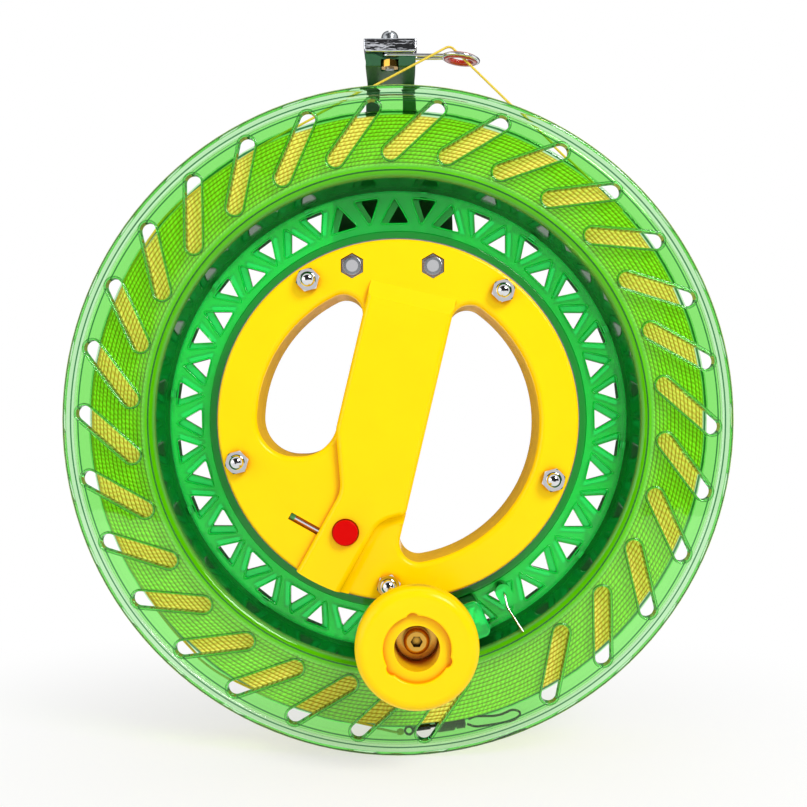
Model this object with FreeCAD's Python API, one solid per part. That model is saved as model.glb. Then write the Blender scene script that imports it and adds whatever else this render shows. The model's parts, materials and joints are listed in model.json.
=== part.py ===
"""Grip reel for kite line, 220 mm across, in millimetres.

The reel is drawn facing the viewer: x to the right, y up, z out of its front face, with the wheel's
axis on z and its middle plane at z = 0. Every piece is turned upright when it is written, so that the
wheel's axis lies along Y, its front faces -Y and the line guide stands on +Z.
"""
import FreeCAD
import Part
import math
import os
from FreeCAD import Vector

# Wheel: two clear mouldings that meet at the middle plane
flangeReach = 28.0
wheelHalfWidth = 20.0
lipWidth = 3.8
lipDepth = 4.8
lipRise = 0.6
lipRounding = 1.2
flangeThickness = 4.0
webReach = 14.05
drumDraft = 1.0
drumWall = 2.2
drumTaper = 1.8
drumMouthRounding = 2.6
webThickness = 2.5
slotCount = 30
slotMissing = 13
slotWidth = 5.2
slotDrumMargin = 3.3
slotRimMargin = 4.6
slotFirstAngle = 7.2
slotSweep = 8.7
windowCount = 24
windowHubMargin = 3.05
windowDrumMargin = 2.6
windowBaseInner = 9.4
windowBaseOuter = 8.2
windowOutFirst = 14.0
windowInFirst = 6.7
windowCorner = 0.5
hubWall = 2.1
hubLipHeight = 0.9
hubLipOverlap = 0.35
hookCount = 12
hookWidth = 2.4
hookDepth = 1.3
hookInset = 0.7
hookNose = 0.5
hookRise = 1.4
hookFirst = 6.5
hookGap = 0.1

# Thin-section ball bearing between the hand disc and the wheel
raceStep = 2.71
innerRaceWall = 1.1
ballDiameter = 2.5
ballCount = 24
outerRaceWall = 1.35
raceHalfWidth = 4.5
raceGap = 2.0
raceGrooveGap = 0.05
cageHalfWidth = 1.9
cageWall = 0.8
seatClearance = 0.05
runClearance = 0.1

# Hand disc: two shells bolted together through the bearing's inner race
plateRadius = 60.06
plateHalfWidth = 14.0
plateFace = 2.4
plateWall = 2.4
plateEdgeRounding = 1.2
openingRim = 13.06
openingDrop = 1.0
openingRounding = 2.0
barAngle = 76.8
barWidth = 29.0
barOffset = -4.84
leftOpeningFloor = -12.2
openingCorner = 12.5
lobeCorner = 6.5
gripSeamInset = 0.6
barRise = 3.5
raisedRounding = 2.0
raisedTop = 37.6
raisedRamp = 5.6
raisedLeftBend = -8.0
raisedLeftFoot = -15.5
raisedRightBend = -30.2
raisedRightFoot = -13.0
raisedBend = 10.0
raisedCorner = 3.0
rampWidth = 2.8
rampRise = 1.5
boltEdge = 0.15
boltFirst = 50.8
boltCount = 5
boltDiameter = 4.0
boltClearance = 0.15
boltHeadRadius = 3.8
boltHeadHeight = 2.6
nutFlats = 7.0
nutHeight = 3.2
domeRadius = 2.7
armBoltX = 13.45
armBoltMiddle = -1.85
armBoltInset = 8.91
nylocHeight = 4.4
pocketFlats = 7.4

# Brake: button, rocker, pivot rod and return spring under the raised end of the grip
blockAngle = 241.0
blockWidth = 16.0
blockRoof = 2.2
housingInner = 14.0
housingBottom = 8.0
buttonX = -17.3
buttonY = -37.0
buttonRadius = 4.2
buttonProud = 2.4
buttonCollar = 5.0
buttonCollarHeight = 0.8
buttonGap = 0.3
footGap = 0.35
pivotBeyond = 4.5
pivotDepth = 6.1
pivotDiameter = 2.4
pivotClearance = 0.05
rodInnerEnd = 6.0
rodOuterEnd = 17.0
rodCollarLength = 1.7
slotEnd = 18.8
rockerWidth = 4.0
rockerRoom = 1.6
rockerRoomInner = 11.5
rockerRoomOuter = 8.5
rockerRise = 0.4
rockerTail = 1.5
rockerTip = 2.6
channelGap = 0.5
channelRoof = 2.2
rockerHub = 1.8
rockerArm = 8.0
rockerArmThick = 2.0
rockerOverrun = 9.2
footRadius = 0.8
padWidth = 0.9
padThickness = 1.0
padOverhang = 0.35
padGap = 0.25
springRadius = 1.9
springWire = 0.5
springTurns = 4
springPost = 2.6
springBottom = -2.0

# Crank knob on the wheel
crankReach = 5.2
crankAngle = -85.1
knobRadius = 19.0
knobNeck = 12.5
knobLength = 31.0
knobRimHeight = 8.0
knobRounding = 3.4
knobRecessRadius = 10.3
knobRecessDepth = 2.4
knobLobeReach = 11.2
knobLobeRadius = 2.0
knobLobeFirst = 98.0
knobWellRadius = 7.0
knobWellDepth = 19.5
knobBaseGap = 0.8
sleeveRadius = 3.6
crankBoltDiameter = 5.0
crankHeadRadius = 4.1
crankHeadHeight = 5.0
crankSocketFlats = 3.3
crankHeadRounding = 1.2
crankSocketDepth = 2.6
crankWasherRadius = 6.5
crankWasherThickness = 1.0
crankNutFlats = 8.0
crankNutHeight = 4.0
bossWall = 2.2
bossLeftAngle = -99.0
bossRightAngle = -66.0
bossHubGap = 0.05
bossDrumGap = 1.4
bossCorner = 2.6

# Wire clip that holds the line's end, beside the crank boss
clipWire = 0.7
tongueAngle = -58.6
tongueWidth = 5.3
tongueHubGap = 0.65
tongueLength = 8.0
tongueDrop = 7.5
clipOverlap = 1.39
clipEndAngle = -59.43
clipDip = 3.7

# Line guide on the arm behind the wheel
armThickness = 4.5
armGap = 1.6
armFootDrop = 7.15
armFootWidth = 42.4
armShoulderReach = 2.0
armMiddle = -2.7
headWidth = 18.0
headGap = 9.9
headThickness = 4.7
headFront = 4.2
headWaist = 0.7
headNotchWidth = 11.0
headNotchDrop = 3.2
headNotchDepth = 1.0
legWidth = 4.8
clampHeight = 4.7
clampReach = 1.0
clampBack = 8.0
clampRounding = 1.6
clampGap = 0.05
guideScrewRadius = 1.5
guideScrewHead = 2.9
guideScrewHeadHeight = 3.3
guideNutFlats = 5.5
guideNutHeight = 2.3
threadGap = 0.02
eyeClearance = 0.15
guideShelf = 2.2
guideDepth = 1.5
guideRingX = 21.4
guideRingTilt = 7.5
guideRingRadius = 6.05
guideRingTube = 0.6
guideStemSpread = 1.6
ceramicBore = 3.7
ceramicOuter = 5.75
ceramicHalfHeight = 1.0
ceramicRounding = 0.9
ceramicSeatGap = 0.06
guideWire = 1.2

# Wound line, the stretch through the guide, and its stowed end
lineDiameter = 0.8
packGap = 0.35
packDepth = 17.15
packCrown = 1.2
lineOff = Vector(73.0, 67.9, 13.2)
lineTop = Vector(17.6, 127.2, 3.9)
lineEnd = Vector(-0.6, -104.9, 8.0)
lineLieGap = 1.1
lineLieFirst = 132.0
lineLieStep = 21.67
lineLieDepths = [12.0, 12.4, 12.4, 12.2, 11.8, 11.0]
ringArc = 2.6
knotLength = 2.6
swivelAngle = 8.2
barrelSmall = 1.0
barrelLarge = 2.0
journalRadius = 0.55
journalGap = 0.08
journalHead = 0.4
swivelEyeRadius = 1.3
swivelEyeWire = 0.4
swivelStalk = 0.45
smallBarrelStart = 3.2
smallBarrelEnd = 9.0
barrelStart = 10.6
journalNeckEnd = 11.6
journalEnd = 12.4
barrelEnd = 17.3
stalkEnd = 20.8
stalkRadius = 1.2
snapWire = 0.8
snapHalfWidth = 2.0

# Radii that follow, from the hand disc outwards
innerRaceBore = plateRadius - raceStep
innerRaceOuter = innerRaceBore + innerRaceWall
ballPitchRadius = innerRaceOuter + raceGap / 2
outerRaceInner = innerRaceOuter + raceGap
outerRaceOuter = outerRaceInner + outerRaceWall
hubBore = outerRaceOuter + seatClearance
hubOuter = hubBore + hubWall
webOuter = hubOuter + webReach
drumMouth = webOuter + drumTaper
drumRadius = drumMouth + drumWall
wheelRadius = drumRadius + flangeReach
slotInnerReach = drumRadius + slotDrumMargin
slotOuterReach = wheelRadius - slotRimMargin
windowInnerRadius = hubOuter + windowHubMargin
windowOuterRadius = webOuter - windowDrumMargin
openingRadius = plateRadius - openingRim
gripSeamRadius = openingRadius - gripSeamInset
boltCircle = innerRaceBore - seatClearance - boltDiameter / 2 - boltClearance - boltEdge
armBoltY = plateRadius - armBoltInset
padRadius = outerRaceInner - padOverhang
crankRadius = hubOuter + crankReach
bossInner = hubOuter + bossHubGap
bossOuter = webOuter - bossDrumGap
tongueInner = hubOuter + tongueHubGap
tongueOuter = tongueInner + tongueLength
packInner = drumRadius + packGap
packOuter = packInner + packDepth
lineLieRadius = (packOuter + lineLieGap - packCrown / 2) / math.cos(math.radians(lineLieStep / 2))
armFootBottom = armBoltY - armFootDrop
armShoulder = drumRadius + armShoulderReach
headBottom = wheelRadius + headGap
headTop = headBottom + headThickness

# Heights that follow
flangeFace = wheelHalfWidth - lipRise
flangeBack = flangeFace - flangeThickness
packHalfWidth = flangeBack
hubTop = raceHalfWidth + seatClearance + hubLipHeight
faceHeight = plateHalfWidth
blockTop = plateHalfWidth + barRise
pivotHeight = blockTop - pivotDepth
bossRise = wheelHalfWidth
tongueRise = wheelHalfWidth - tongueDrop
up = Vector(0, 0, 1)


def polar(radius, degrees, z=0.0):
    angle = math.radians(degrees)
    return Vector(radius * math.cos(angle), radius * math.sin(angle), z)


def clockwise(radius, degrees, z=0.0):
    """A place told by the angle clockwise from the top, as the slots and windows are set out."""
    return polar(radius, 90.0 - degrees, z)


def flat(a, b):
    return Vector(a, b, 0)


def section(a, b):
    return Vector(a, 0, b)


def roundedWire(corners, toSpace):
    """A closed outline of straight sides whose corners (a, b, radius) are rounded by tangent arcs."""
    tangents = []
    for index, (a, b, radius) in enumerate(corners):
        here = Vector(a, b, 0)
        before = Vector(corners[index - 1][0] - a, corners[index - 1][1] - b, 0)
        following = corners[(index + 1) % len(corners)]
        after = Vector(following[0] - a, following[1] - b, 0)
        before.normalize()
        after.normalize()
        half = before.getAngle(after) / 2
        reach = radius / math.tan(half)
        bisector = before + after
        if radius > 0:
            bisector.normalize()
        middle = here + bisector * (radius / math.sin(half) - radius)
        tangents.append((here + before * reach, middle, here + after * reach, radius))
    edges = []
    for index, (start, middle, end, radius) in enumerate(tangents):
        if radius > 0:
            edges.append(Part.Arc(*[toSpace(p.x, p.y) for p in (start, middle, end)]).toShape())
        nextStart = tangents[(index + 1) % len(tangents)][0]
        if (nextStart - end).Length > 1e-6:
            edges.append(Part.LineSegment(toSpace(end.x, end.y), toSpace(nextStart.x, nextStart.y)).toShape())
    return Part.Wire(edges)


def turned(corners):
    """A solid of revolution about z from an outline in radius and height."""
    return Part.Face(roundedWire(corners, section)).revolve(Vector(0, 0, 0), up, 360)


def prism(corners, bottom, top):
    face = Part.Face(roundedWire(corners, flat))
    face.translate(Vector(0, 0, bottom))
    return face.extrude(Vector(0, 0, top - bottom))


def disc(radius, bottom, top, place=Vector(0, 0, 0)):
    return Part.makeCylinder(radius, top - bottom, Vector(place.x, place.y, bottom))


def ring(inner, outer, bottom, top, place=Vector(0, 0, 0)):
    return disc(outer, bottom, top, place).cut(disc(inner, bottom - 1, top + 1, place))


def stadium(start, end, width, bottom, top):
    """A slot shape with full round ends centred on two places."""
    along = end - start
    along.normalize()
    side = Vector(-along.y, along.x, 0) * (width / 2)
    tip = along * (width / 2)
    edges = [
        Part.LineSegment(start + side, end + side).toShape(),
        Part.Arc(end + side, end + tip, end - side).toShape(),
        Part.LineSegment(end - side, start - side).toShape(),
        Part.Arc(start - side, start - tip, start + side).toShape()]
    face = Part.Face(Part.Wire(edges))
    face.translate(Vector(0, 0, bottom - start.z))
    return face.extrude(Vector(0, 0, top - bottom))


def hexagon(flats, bottom, top, place, firstAngle=0.0):
    corner = flats / math.sqrt(3)
    points = [place + polar(corner, firstAngle + 60 * step) for step in range(7)]
    face = Part.Face(Part.makePolygon([Vector(p.x, p.y, bottom) for p in points]))
    return face.extrude(Vector(0, 0, top - bottom))


def wedge(inner, outer, fromAngle, toAngle, bottom, top):
    """A piece of a ring between two angles, counted from +x."""
    sector = Part.makeCylinder(outer, top - bottom, Vector(0, 0, bottom), up, toAngle - fromAngle)
    sector.rotate(Vector(0, 0, 0), up, fromAngle)
    return sector.cut(disc(inner, bottom - 1, top + 1))


def tube(points, diameter, radii=None):
    """A round wire along straight runs joined by tangent arcs; returns the solid and its arcs' radii."""
    edges, used = [], []
    cursor = points[0]
    for index in range(1, len(points) - 1):
        before = points[index - 1] - points[index]
        after = points[index + 1] - points[index]
        shorter = min(before.Length, after.Length)
        before.normalize()
        after.normalize()
        half = before.getAngle(after) / 2
        radius = 0.45 * shorter * math.tan(half)
        if radii and radii.get(index):
            radius = min(radius, radii[index])
        reach = radius / math.tan(half)
        bisector = before + after
        bisector.normalize()
        middle = points[index] + bisector * (radius / math.sin(half) - radius)
        start, end = points[index] + before * reach, points[index] + after * reach
        edges.append(Part.LineSegment(cursor, start).toShape())
        edges.append(Part.Arc(start, middle, end).toShape())
        used.append(radius)
        cursor = end
    edges.append(Part.LineSegment(cursor, points[-1]).toShape())
    path = Part.Wire(edges)
    direction = points[1] - points[0]
    profile = Part.Wire([Part.makeCircle(diameter / 2, points[0], direction)])
    return path.makePipeShell([profile], True, False), used


def fuse(pieces):
    return pieces[0].fuse(pieces[1:]).removeSplitter()


def flangedShell():
    """The turned body of one wheel half: rim lip, flange, drum wall, web and bearing seat."""
    return turned([
        (hubBore, 0, 0), (drumRadius - drumDraft, 0, 0),
        (drumRadius, flangeBack, 0), (wheelRadius - lipWidth, flangeBack, 0),
        (wheelRadius - lipWidth, wheelHalfWidth - lipDepth, 0.3),
        (wheelRadius, wheelHalfWidth - lipDepth, lipRounding), (wheelRadius, wheelHalfWidth, lipRounding),
        (wheelRadius - lipWidth, wheelHalfWidth, 0.5), (wheelRadius - lipWidth, flangeFace, 0),
        (drumMouth, flangeFace, drumMouthRounding), (webOuter, webThickness, 0),
        (hubOuter, webThickness, 0), (hubOuter, hubTop, 0.4), (hubBore - hubLipOverlap, hubTop, 0),
        (hubBore - hubLipOverlap, raceHalfWidth + seatClearance, 0),
        (hubBore, raceHalfWidth + seatClearance, 0)])


def slots():
    """Leaning slots through the flange; one place is left solid."""
    innerRadius = slotInnerReach + slotWidth / 2
    outerRadius = slotOuterReach - slotWidth / 2
    cuts = []
    for index in range(slotCount):
        if index == slotMissing:
            continue
        angle = slotFirstAngle + index * 360 / slotCount
        cuts.append(stadium(
            clockwise(innerRadius, angle - slotSweep), clockwise(outerRadius, angle), slotWidth,
            flangeBack - 1, wheelHalfWidth + 1))
    return cuts


def window(apexRadius, baseRadius, baseWidth, angle):
    """One triangle of the truss web, pointing in or out."""
    corners = [(apexRadius, 0), (baseRadius, baseWidth / 2), (baseRadius, -baseWidth / 2)]
    shape = prism([(a, b, windowCorner) for a, b in corners], -1, webThickness + 1)
    shape.rotate(Vector(0, 0, 0), up, 90 - angle)
    return shape


def windows():
    cuts = []
    for index in range(windowCount):
        step = index * 360 / windowCount
        cuts.append(window(windowOuterRadius, windowInnerRadius, windowBaseInner, windowOutFirst + step))
        cuts.append(window(windowInnerRadius, windowOuterRadius, windowBaseOuter, windowInFirst + step))
    return cuts


def hookPlace(index):
    return hookFirst + index * 360 / hookCount


def hooks(clearance):
    """Snap hooks that rise from the back half through the front web beside its outer edge."""
    outer = webOuter - hookInset
    shapes = []
    for index in range(hookCount):
        half = hookWidth / 2 + clearance
        low, high = outer - hookDepth - clearance, outer + clearance
        stem = Part.makeBox(high - low, 2 * half, webThickness + 2 * hookRise, Vector(low, -half, -hookRise))
        if clearance == 0:
            nose = Part.makeBox(hookNose, 2 * half, hookRise, Vector(high, -half, webThickness + 0.05))
            stem = stem.fuse(nose)
        stem.rotate(Vector(0, 0, 0), up, 90 - hookPlace(index))
        shapes.append(stem)
    return shapes


def crankPlace():
    return polar(crankRadius, crankAngle)


def crankBoss():
    """The hollow pad that bridges the groove between hub and drum and carries the crank bolt."""
    block = wedge(bossInner, bossOuter, bossLeftAngle, bossRightAngle, webThickness - 0.5, bossRise)
    block = block.makeFillet(bossCorner, uprightEdges(block, bossRise - webThickness + 0.5))
    block = block.makeFillet(0.8, [edge for edge in block.Edges if edge.BoundBox.ZMin > bossRise - 0.01])
    hollow = wedge(
        bossInner + bossWall, bossOuter - bossWall, bossLeftAngle + 2, bossRightAngle - 2,
        -1, bossRise - bossWall)
    post = disc(crankBoltDiameter / 2 + 3, -1, bossRise - 1, crankPlace())
    return block.cut(hollow.cut(post)), hollow.cut(post)


def crankBore():
    place = crankPlace()
    bore = disc(crankBoltDiameter / 2 + boltClearance, -2, bossRise + 2, place)
    pocket = hexagon(crankNutFlats + 0.2, -2, crankNutHeight + 0.2, place)
    return [bore, pocket]


def tonguePost():
    half = tongueWidth / 2
    start, end = polar(tongueInner + half, tongueAngle), polar(tongueOuter - half, tongueAngle)
    return stadium(start, end, tongueWidth, webThickness - 0.5, tongueRise)


def clipSeat():
    return polar(tongueInner + tongueWidth / 2 + 0.6, tongueAngle, 0)


def frontHalf():
    shell = flangedShell().cut(slots() + windows())
    boss, hollow = crankBoss()
    shell = shell.cut([hollow]).fuse([boss, tonguePost()])
    seat = disc(clipWire / 2 + seatClearance, tongueRise - 6, tongueRise + 1, clipSeat())
    return shell.cut(crankBore() + hooks(hookGap) + [seat])


def backHalf():
    shell = flangedShell().cut(slots() + windows())
    shell.rotate(Vector(0, 0, 0), Vector(0, 1, 0), 180)
    return shell.fuse(hooks(0))


def woundLine():
    return turned([
        (packInner, -packHalfWidth, 0), (packOuter - packCrown, -packHalfWidth, 1.0),
        (packOuter, -packHalfWidth / 2, 12), (packOuter, packHalfWidth / 2, 12),
        (packOuter - packCrown, packHalfWidth, 1.0), (packInner, packHalfWidth, 0)])


def race(inner, outer):
    groove = Part.makeTorus(ballPitchRadius, ballDiameter / 2 + raceGrooveGap)
    return ring(inner, outer, -raceHalfWidth, raceHalfWidth).cut(groove)


def ball(index, radius):
    return Part.makeSphere(radius, polar(ballPitchRadius, index * 360 / ballCount))


def balls():
    return Part.makeCompound([ball(index, ballDiameter / 2) for index in range(ballCount)])


def cage():
    body = ring(ballPitchRadius - cageWall / 2, ballPitchRadius + cageWall / 2, -cageHalfWidth, cageHalfWidth)
    pockets = []
    for index in range(ballCount):
        middle = polar(ballPitchRadius - cageWall, index * 360 / ballCount)
        outwards = polar(1, index * 360 / ballCount)
        pockets.append(Part.makeCylinder(ballDiameter / 2 + runClearance, 2 * cageWall, middle, outwards))
    return body.cut(pockets)


def uprightEdges(shape, height):
    return [edge for edge in shape.Edges if abs(edge.BoundBox.ZLength - height) < 0.01]


def barLine(offset, reach):
    """The corner of a half-plane bounded by a line along the grip bar."""
    along = polar(1, barAngle)
    across = polar(1, barAngle - 90)
    return across * offset + along * reach


def opening(side, grow, bottom, top):
    """A hand opening: inside one circle and on one side of the grip bar; grown by the wall for cavities."""
    middle = Vector(0, -openingDrop, 0)
    region = disc(openingRadius + grow, bottom, top, middle)
    edge = barOffset + side * (barWidth / 2 - grow)
    far = side * 4 * openingRadius
    corners = [barLine(edge, -80), barLine(edge, 80), barLine(edge + far, 80), barLine(edge + far, -80)]
    slab = prism([(p.x, p.y, 0) for p in corners], bottom, top)
    region = region.common(slab)
    if side < 0:
        floor = leftOpeningFloor - grow
        region = region.common(Part.makeBox(200, 200, top - bottom, Vector(-100, floor, bottom)))
    low = [edge for edge in uprightEdges(region, top - bottom) if edge.BoundBox.Center.y < 0]
    region = region.makeFillet(openingCorner if side < 0 else lobeCorner, low)
    high = [edge for edge in uprightEdges(region, top - bottom) if edge.BoundBox.Center.y > openingRadius / 2]
    return region.makeFillet(lobeCorner, high)


def boltPlaces():
    return [polar(boltCircle, boltFirst + index * 360 / boltCount) for index in range(boltCount)]


def armBoltPlaces():
    return [Vector(armBoltMiddle + side * armBoltX, armBoltY, 0) for side in (-1, 1)]


def blockAlong():
    return polar(1, blockAngle)


def blockAcross():
    return polar(1, blockAngle - 90)


def pivotPlace():
    return Vector(buttonX, buttonY, 0) + blockAlong() * pivotBeyond


def blockPoint(along, across, z=0.0):
    return pivotPlace() + blockAlong() * along + blockAcross() * across + Vector(0, 0, z)


def blockPrism(fromAlong, toAlong, fromAcross, toAcross, bottom, top):
    corners = [(fromAlong, fromAcross), (toAlong, fromAcross), (toAlong, toAcross), (fromAlong, toAcross)]
    places = [blockPoint(a, b) for a, b in corners]
    return prism([(p.x, p.y, 0) for p in places], bottom, top)


def raisedOutline():
    """Plan of the grip's raised back: along the bar, then over the brake to the disc's edge."""
    left, right = barOffset - barWidth / 2, barOffset + barWidth / 2
    top = raisedTop + raisedRamp
    corners = [
        (barLine(left, top), 0), (barLine(left, raisedLeftBend), raisedBend),
        (blockPoint(raisedLeftFoot, blockWidth / 2), raisedBend),
        (blockPoint(plateRadius, blockWidth / 2), 0), (blockPoint(plateRadius, -blockWidth / 2), 0),
        (blockPoint(raisedRightFoot, -blockWidth / 2), raisedBend),
        (barLine(right, raisedRightBend), raisedCorner), (barLine(right, top), 0)]
    return [(place.x, place.y, radius) for place, radius in corners]


def sideRamp():
    """A hollow ramp at the foot of the raised back's right side."""
    foot = blockPoint(raisedRightFoot, -blockWidth / 2)
    side = barLine(barOffset + barWidth / 2, raisedRightBend)
    start = blockPoint(plateRadius, -blockWidth / 2)
    before, after = start - foot, side - foot
    reach = raisedBend / math.tan(before.getAngle(after) / 2)
    before.normalize()
    after.normalize()
    bisector = before + after
    bisector.normalize()
    half = before.getAngle(after) / 2
    middle = foot + bisector * (raisedBend / math.sin(half) - raisedBend)
    bendStart, bendEnd = foot + before * reach, foot + after * reach
    path = Part.Wire([
        Part.LineSegment(start, bendStart).toShape(), Part.Arc(bendStart, middle, bendEnd).toShape(),
        Part.LineSegment(bendEnd, side + after * rampWidth).toShape()])
    outwards = blockAcross() * -1
    low, high = Vector(0, 0, faceHeight - 0.5), Vector(0, 0, faceHeight + rampRise)
    level = Vector(0, 0, faceHeight)
    inside = start - outwards * 0.5
    sag = start + outwards * (0.36 * rampWidth) + level + Vector(0, 0, 0.36 * rampRise)
    edges = [
        Part.Arc(start + high, sag, start + outwards * rampWidth + level).toShape(),
        Part.LineSegment(start + outwards * rampWidth + level, start + outwards * rampWidth + low).toShape(),
        Part.LineSegment(start + outwards * rampWidth + low, inside + low).toShape(),
        Part.LineSegment(inside + low, inside + high).toShape(),
        Part.LineSegment(inside + high, start + high).toShape()]
    pipe = Part.BRepOffsetAPI.MakePipeShell(path)
    pipe.setBiNormalMode(up)
    pipe.add(Part.Wire(edges))
    pipe.build()
    pipe.makeSolid()
    return pipe.shape()


def raisedBack():
    """The raised, rounded back of the grip, with a ramp into the disc at its upper end and its right foot."""
    bottom = faceHeight - openingRounding
    body = prism(raisedOutline(), bottom, blockTop)
    ends = [barLine(barOffset, raisedTop + raisedRamp), blockPoint(plateRadius, 0)]
    top = [edge for edge in body.Edges if edge.BoundBox.ZMin > blockTop - 0.01
           and all((edge.CenterOfMass - Vector(end.x, end.y, blockTop)).Length > 1 for end in ends)]
    body = body.makeFillet(raisedRounding, top)
    far = raisedTop + 2 * raisedRamp
    slope = [(raisedTop, blockTop), (raisedTop + raisedRamp, faceHeight), (far, faceHeight),
             (far, blockTop + 1), (raisedTop, blockTop + 1)]
    wedgeFace = Part.Face(Part.makePolygon([Vector(a, -barWidth, b) for a, b in slope + slope[:1]]))
    wedgeCut = wedgeFace.extrude(Vector(0, 2 * barWidth, 0))
    wedgeCut.rotate(Vector(0, 0, 0), up, barAngle)
    wedgeCut.translate(barLine(barOffset, 0))
    body = body.cut(wedgeCut).fuse(sideRamp())
    body = body.common(disc(plateRadius, 0, blockTop + 1))
    return body.cut([opening(side, 0, -1, blockTop + 5) for side in (-1, 1)])


def plateBody():
    """One hand disc shell without its openings: edge, running recess and bearing spigot."""
    return turned([
        (0, 0, 0), (innerRaceBore - seatClearance, 0, 0), (innerRaceBore - seatClearance, raceHalfWidth, 0),
        (innerRaceOuter - 0.1, raceHalfWidth, 0), (innerRaceOuter - 0.1, raceHalfWidth + 0.8, 0),
        (plateRadius, raceHalfWidth + 0.8, 0), (plateRadius, faceHeight, plateEdgeRounding),
        (0, faceHeight, 0)])


def plateCavity():
    """The space inside one shell: the bar and the segment below it, up to the solid outer ring."""
    cavity = disc(openingRadius, -1, faceHeight - plateFace, Vector(0, -openingDrop, 0))
    return cavity.cut([opening(side, plateWall, -2, faceHeight) for side in (-1, 1)])


def plateHoles(bottom, top):
    places = boltPlaces() + armBoltPlaces()
    return [disc(boltDiameter / 2 + boltClearance, bottom, top, place) for place in places]


def roundOpenings(shell, height):
    """Rounds the edge of both hand openings on the outer face."""
    edges = []
    for edge in shell.Edges:
        box = edge.BoundBox
        onFace = abs(box.ZMin - height) < 0.01 and abs(box.ZMax - height) < 0.01
        middle = edge.valueAt((edge.FirstParameter + edge.LastParameter) / 2)
        if onFace and middle.Length > 5 and Vector(middle.x, middle.y, 0).Length < openingRadius + 2.5:
            edges.append(edge)
    return shell.makeFillet(openingRounding, edges)


def brakeSpace():
    """What is cut out of the front shell for the button, the rocker, the rod and the visible slot."""
    half = rockerWidth / 2 + rockerRoom
    inside = blockPrism(-rockerRoomInner, rockerRoomOuter, -half, half, -1, blockTop - blockRoof)
    half = rockerWidth / 2 + channelGap
    channel = blockPrism(0, padAlong() + rockerOverrun, -half, half, 0, faceHeight - channelRoof)
    button = disc(buttonRadius + buttonGap, 5, blockTop + 5, Vector(buttonX, buttonY, 0))
    collar = disc(buttonCollar + buttonGap, 5, blockTop - blockRoof, Vector(buttonX, buttonY, 0))
    rodRadius = pivotDiameter / 2 + pivotClearance
    inner = blockPoint(0, -rodInnerEnd, pivotHeight)
    rod = Part.makeCylinder(rodRadius, rodInnerEnd + slotEnd, inner, blockAcross())
    mouth = blockPrism(-rodRadius, rodRadius, blockWidth / 2 - 2, slotEnd, pivotHeight, faceHeight + 0.5)
    return [inside, channel, button, collar, rod, mouth]


def nutPockets():
    return [hexagon(pocketFlats, faceHeight - nylocHeight - 0.3, faceHeight + 1, place, 90)
            for place in armBoltPlaces()]


def gripZone():
    """The round zone inside which each shell is its grip moulding, and outside which it is the ring."""
    return disc(gripSeamRadius, -2 * blockTop, 2 * blockTop, Vector(0, -openingDrop, 0))


def frontShell():
    shell = plateBody().cut([opening(side, 0, -1, faceHeight + 1) for side in (-1, 1)])
    shell = roundOpenings(shell, faceHeight)
    half = blockWidth / 2
    housing = blockPrism(-housingInner, plateRadius, -half, half, housingBottom, faceHeight)
    shell = shell.cut(plateCavity().cut(housing))
    return shell.fuse(raisedBack()).cut(plateHoles(-2, faceHeight + 9) + nutPockets() + brakeSpace())


def springSeat():
    return blockPoint(-rockerArm, 0)


def backShell():
    shell = plateBody().cut([opening(side, 0, -1, faceHeight + 1) for side in (-1, 1)])
    shell = roundOpenings(shell, faceHeight)
    shell = shell.cut(plateCavity())
    shell = shell.cut(plateHoles(-2, faceHeight + 9))
    shell = shell.mirror(Vector(0, 0, 0), up)
    post = disc(springPost, -faceHeight + plateFace - 0.5, springBottom, springSeat())
    return shell.fuse([post])


def rockerTop():
    return pivotHeight + rockerRise


def springTop():
    return rockerTop() - rockerArmThick


def brakeButton():
    place = Vector(buttonX, buttonY, 0)
    collarBottom = blockTop - blockRoof - buttonCollarHeight
    cap = disc(buttonRadius, collarBottom, blockTop + buttonProud, place)
    cap = cap.makeFillet(0.5, [edge for edge in cap.Edges if edge.BoundBox.ZMin > blockTop])
    collar = disc(buttonCollar, collarBottom, collarBottom + buttonCollarHeight - 0.1, place)
    foot = disc(footRadius, rockerTop() + footGap, collarBottom, springSeat())
    return fuse([cap, collar, foot])


def padAlong():
    """Distance from the pivot, along the block, at which the brake pad meets the outer race."""
    pivot = pivotPlace()
    inner = pivot.dot(blockAlong())
    return math.sqrt(padRadius ** 2 - pivot.Length ** 2 + inner ** 2) - inner


def rocker():
    """Two-armed lever on the pivot rod: the button pushes one arm, the other lifts the brake pad."""
    reach = padAlong() + padWidth
    tipBottom = raceHalfWidth + padGap + padThickness
    corners = [
        (-rockerArm - rockerTail, springTop(), 0.3), (-2.0, springTop(), 0.5), (3.0, tipBottom + 1.6, 1.5),
        (reach - 2.2, tipBottom + 1.2, 0.4), (reach - padWidth, tipBottom, 0), (reach, tipBottom, 0),
        (reach, tipBottom + rockerTip, 0.8), (4.0, tipBottom + 3.6, 2.0), (2.0, rockerTop(), 0.5),
        (-rockerArm - rockerTail, rockerTop(), 0.3)]
    face = Part.Face(roundedWire(corners, section))
    arm = face.extrude(Vector(0, rockerWidth, 0))
    hub = Part.makeCylinder(rockerHub, rockerWidth, Vector(0, 0, pivotHeight), Vector(0, 1, 0))
    boreRadius = pivotDiameter / 2 + pivotClearance
    bore = Part.makeCylinder(boreRadius, 20, Vector(0, -5, pivotHeight), Vector(0, 1, 0))
    lever = arm.fuse(hub).cut(bore)
    return inBlock(lever)


def inBlock(shape):
    """Moves a piece drawn along x and across y about the pivot into the block."""
    shape.translate(Vector(0, -rockerWidth / 2, 0))
    shape.rotate(Vector(0, 0, 0), up, blockAngle)
    shape.translate(pivotPlace())
    return shape


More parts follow.
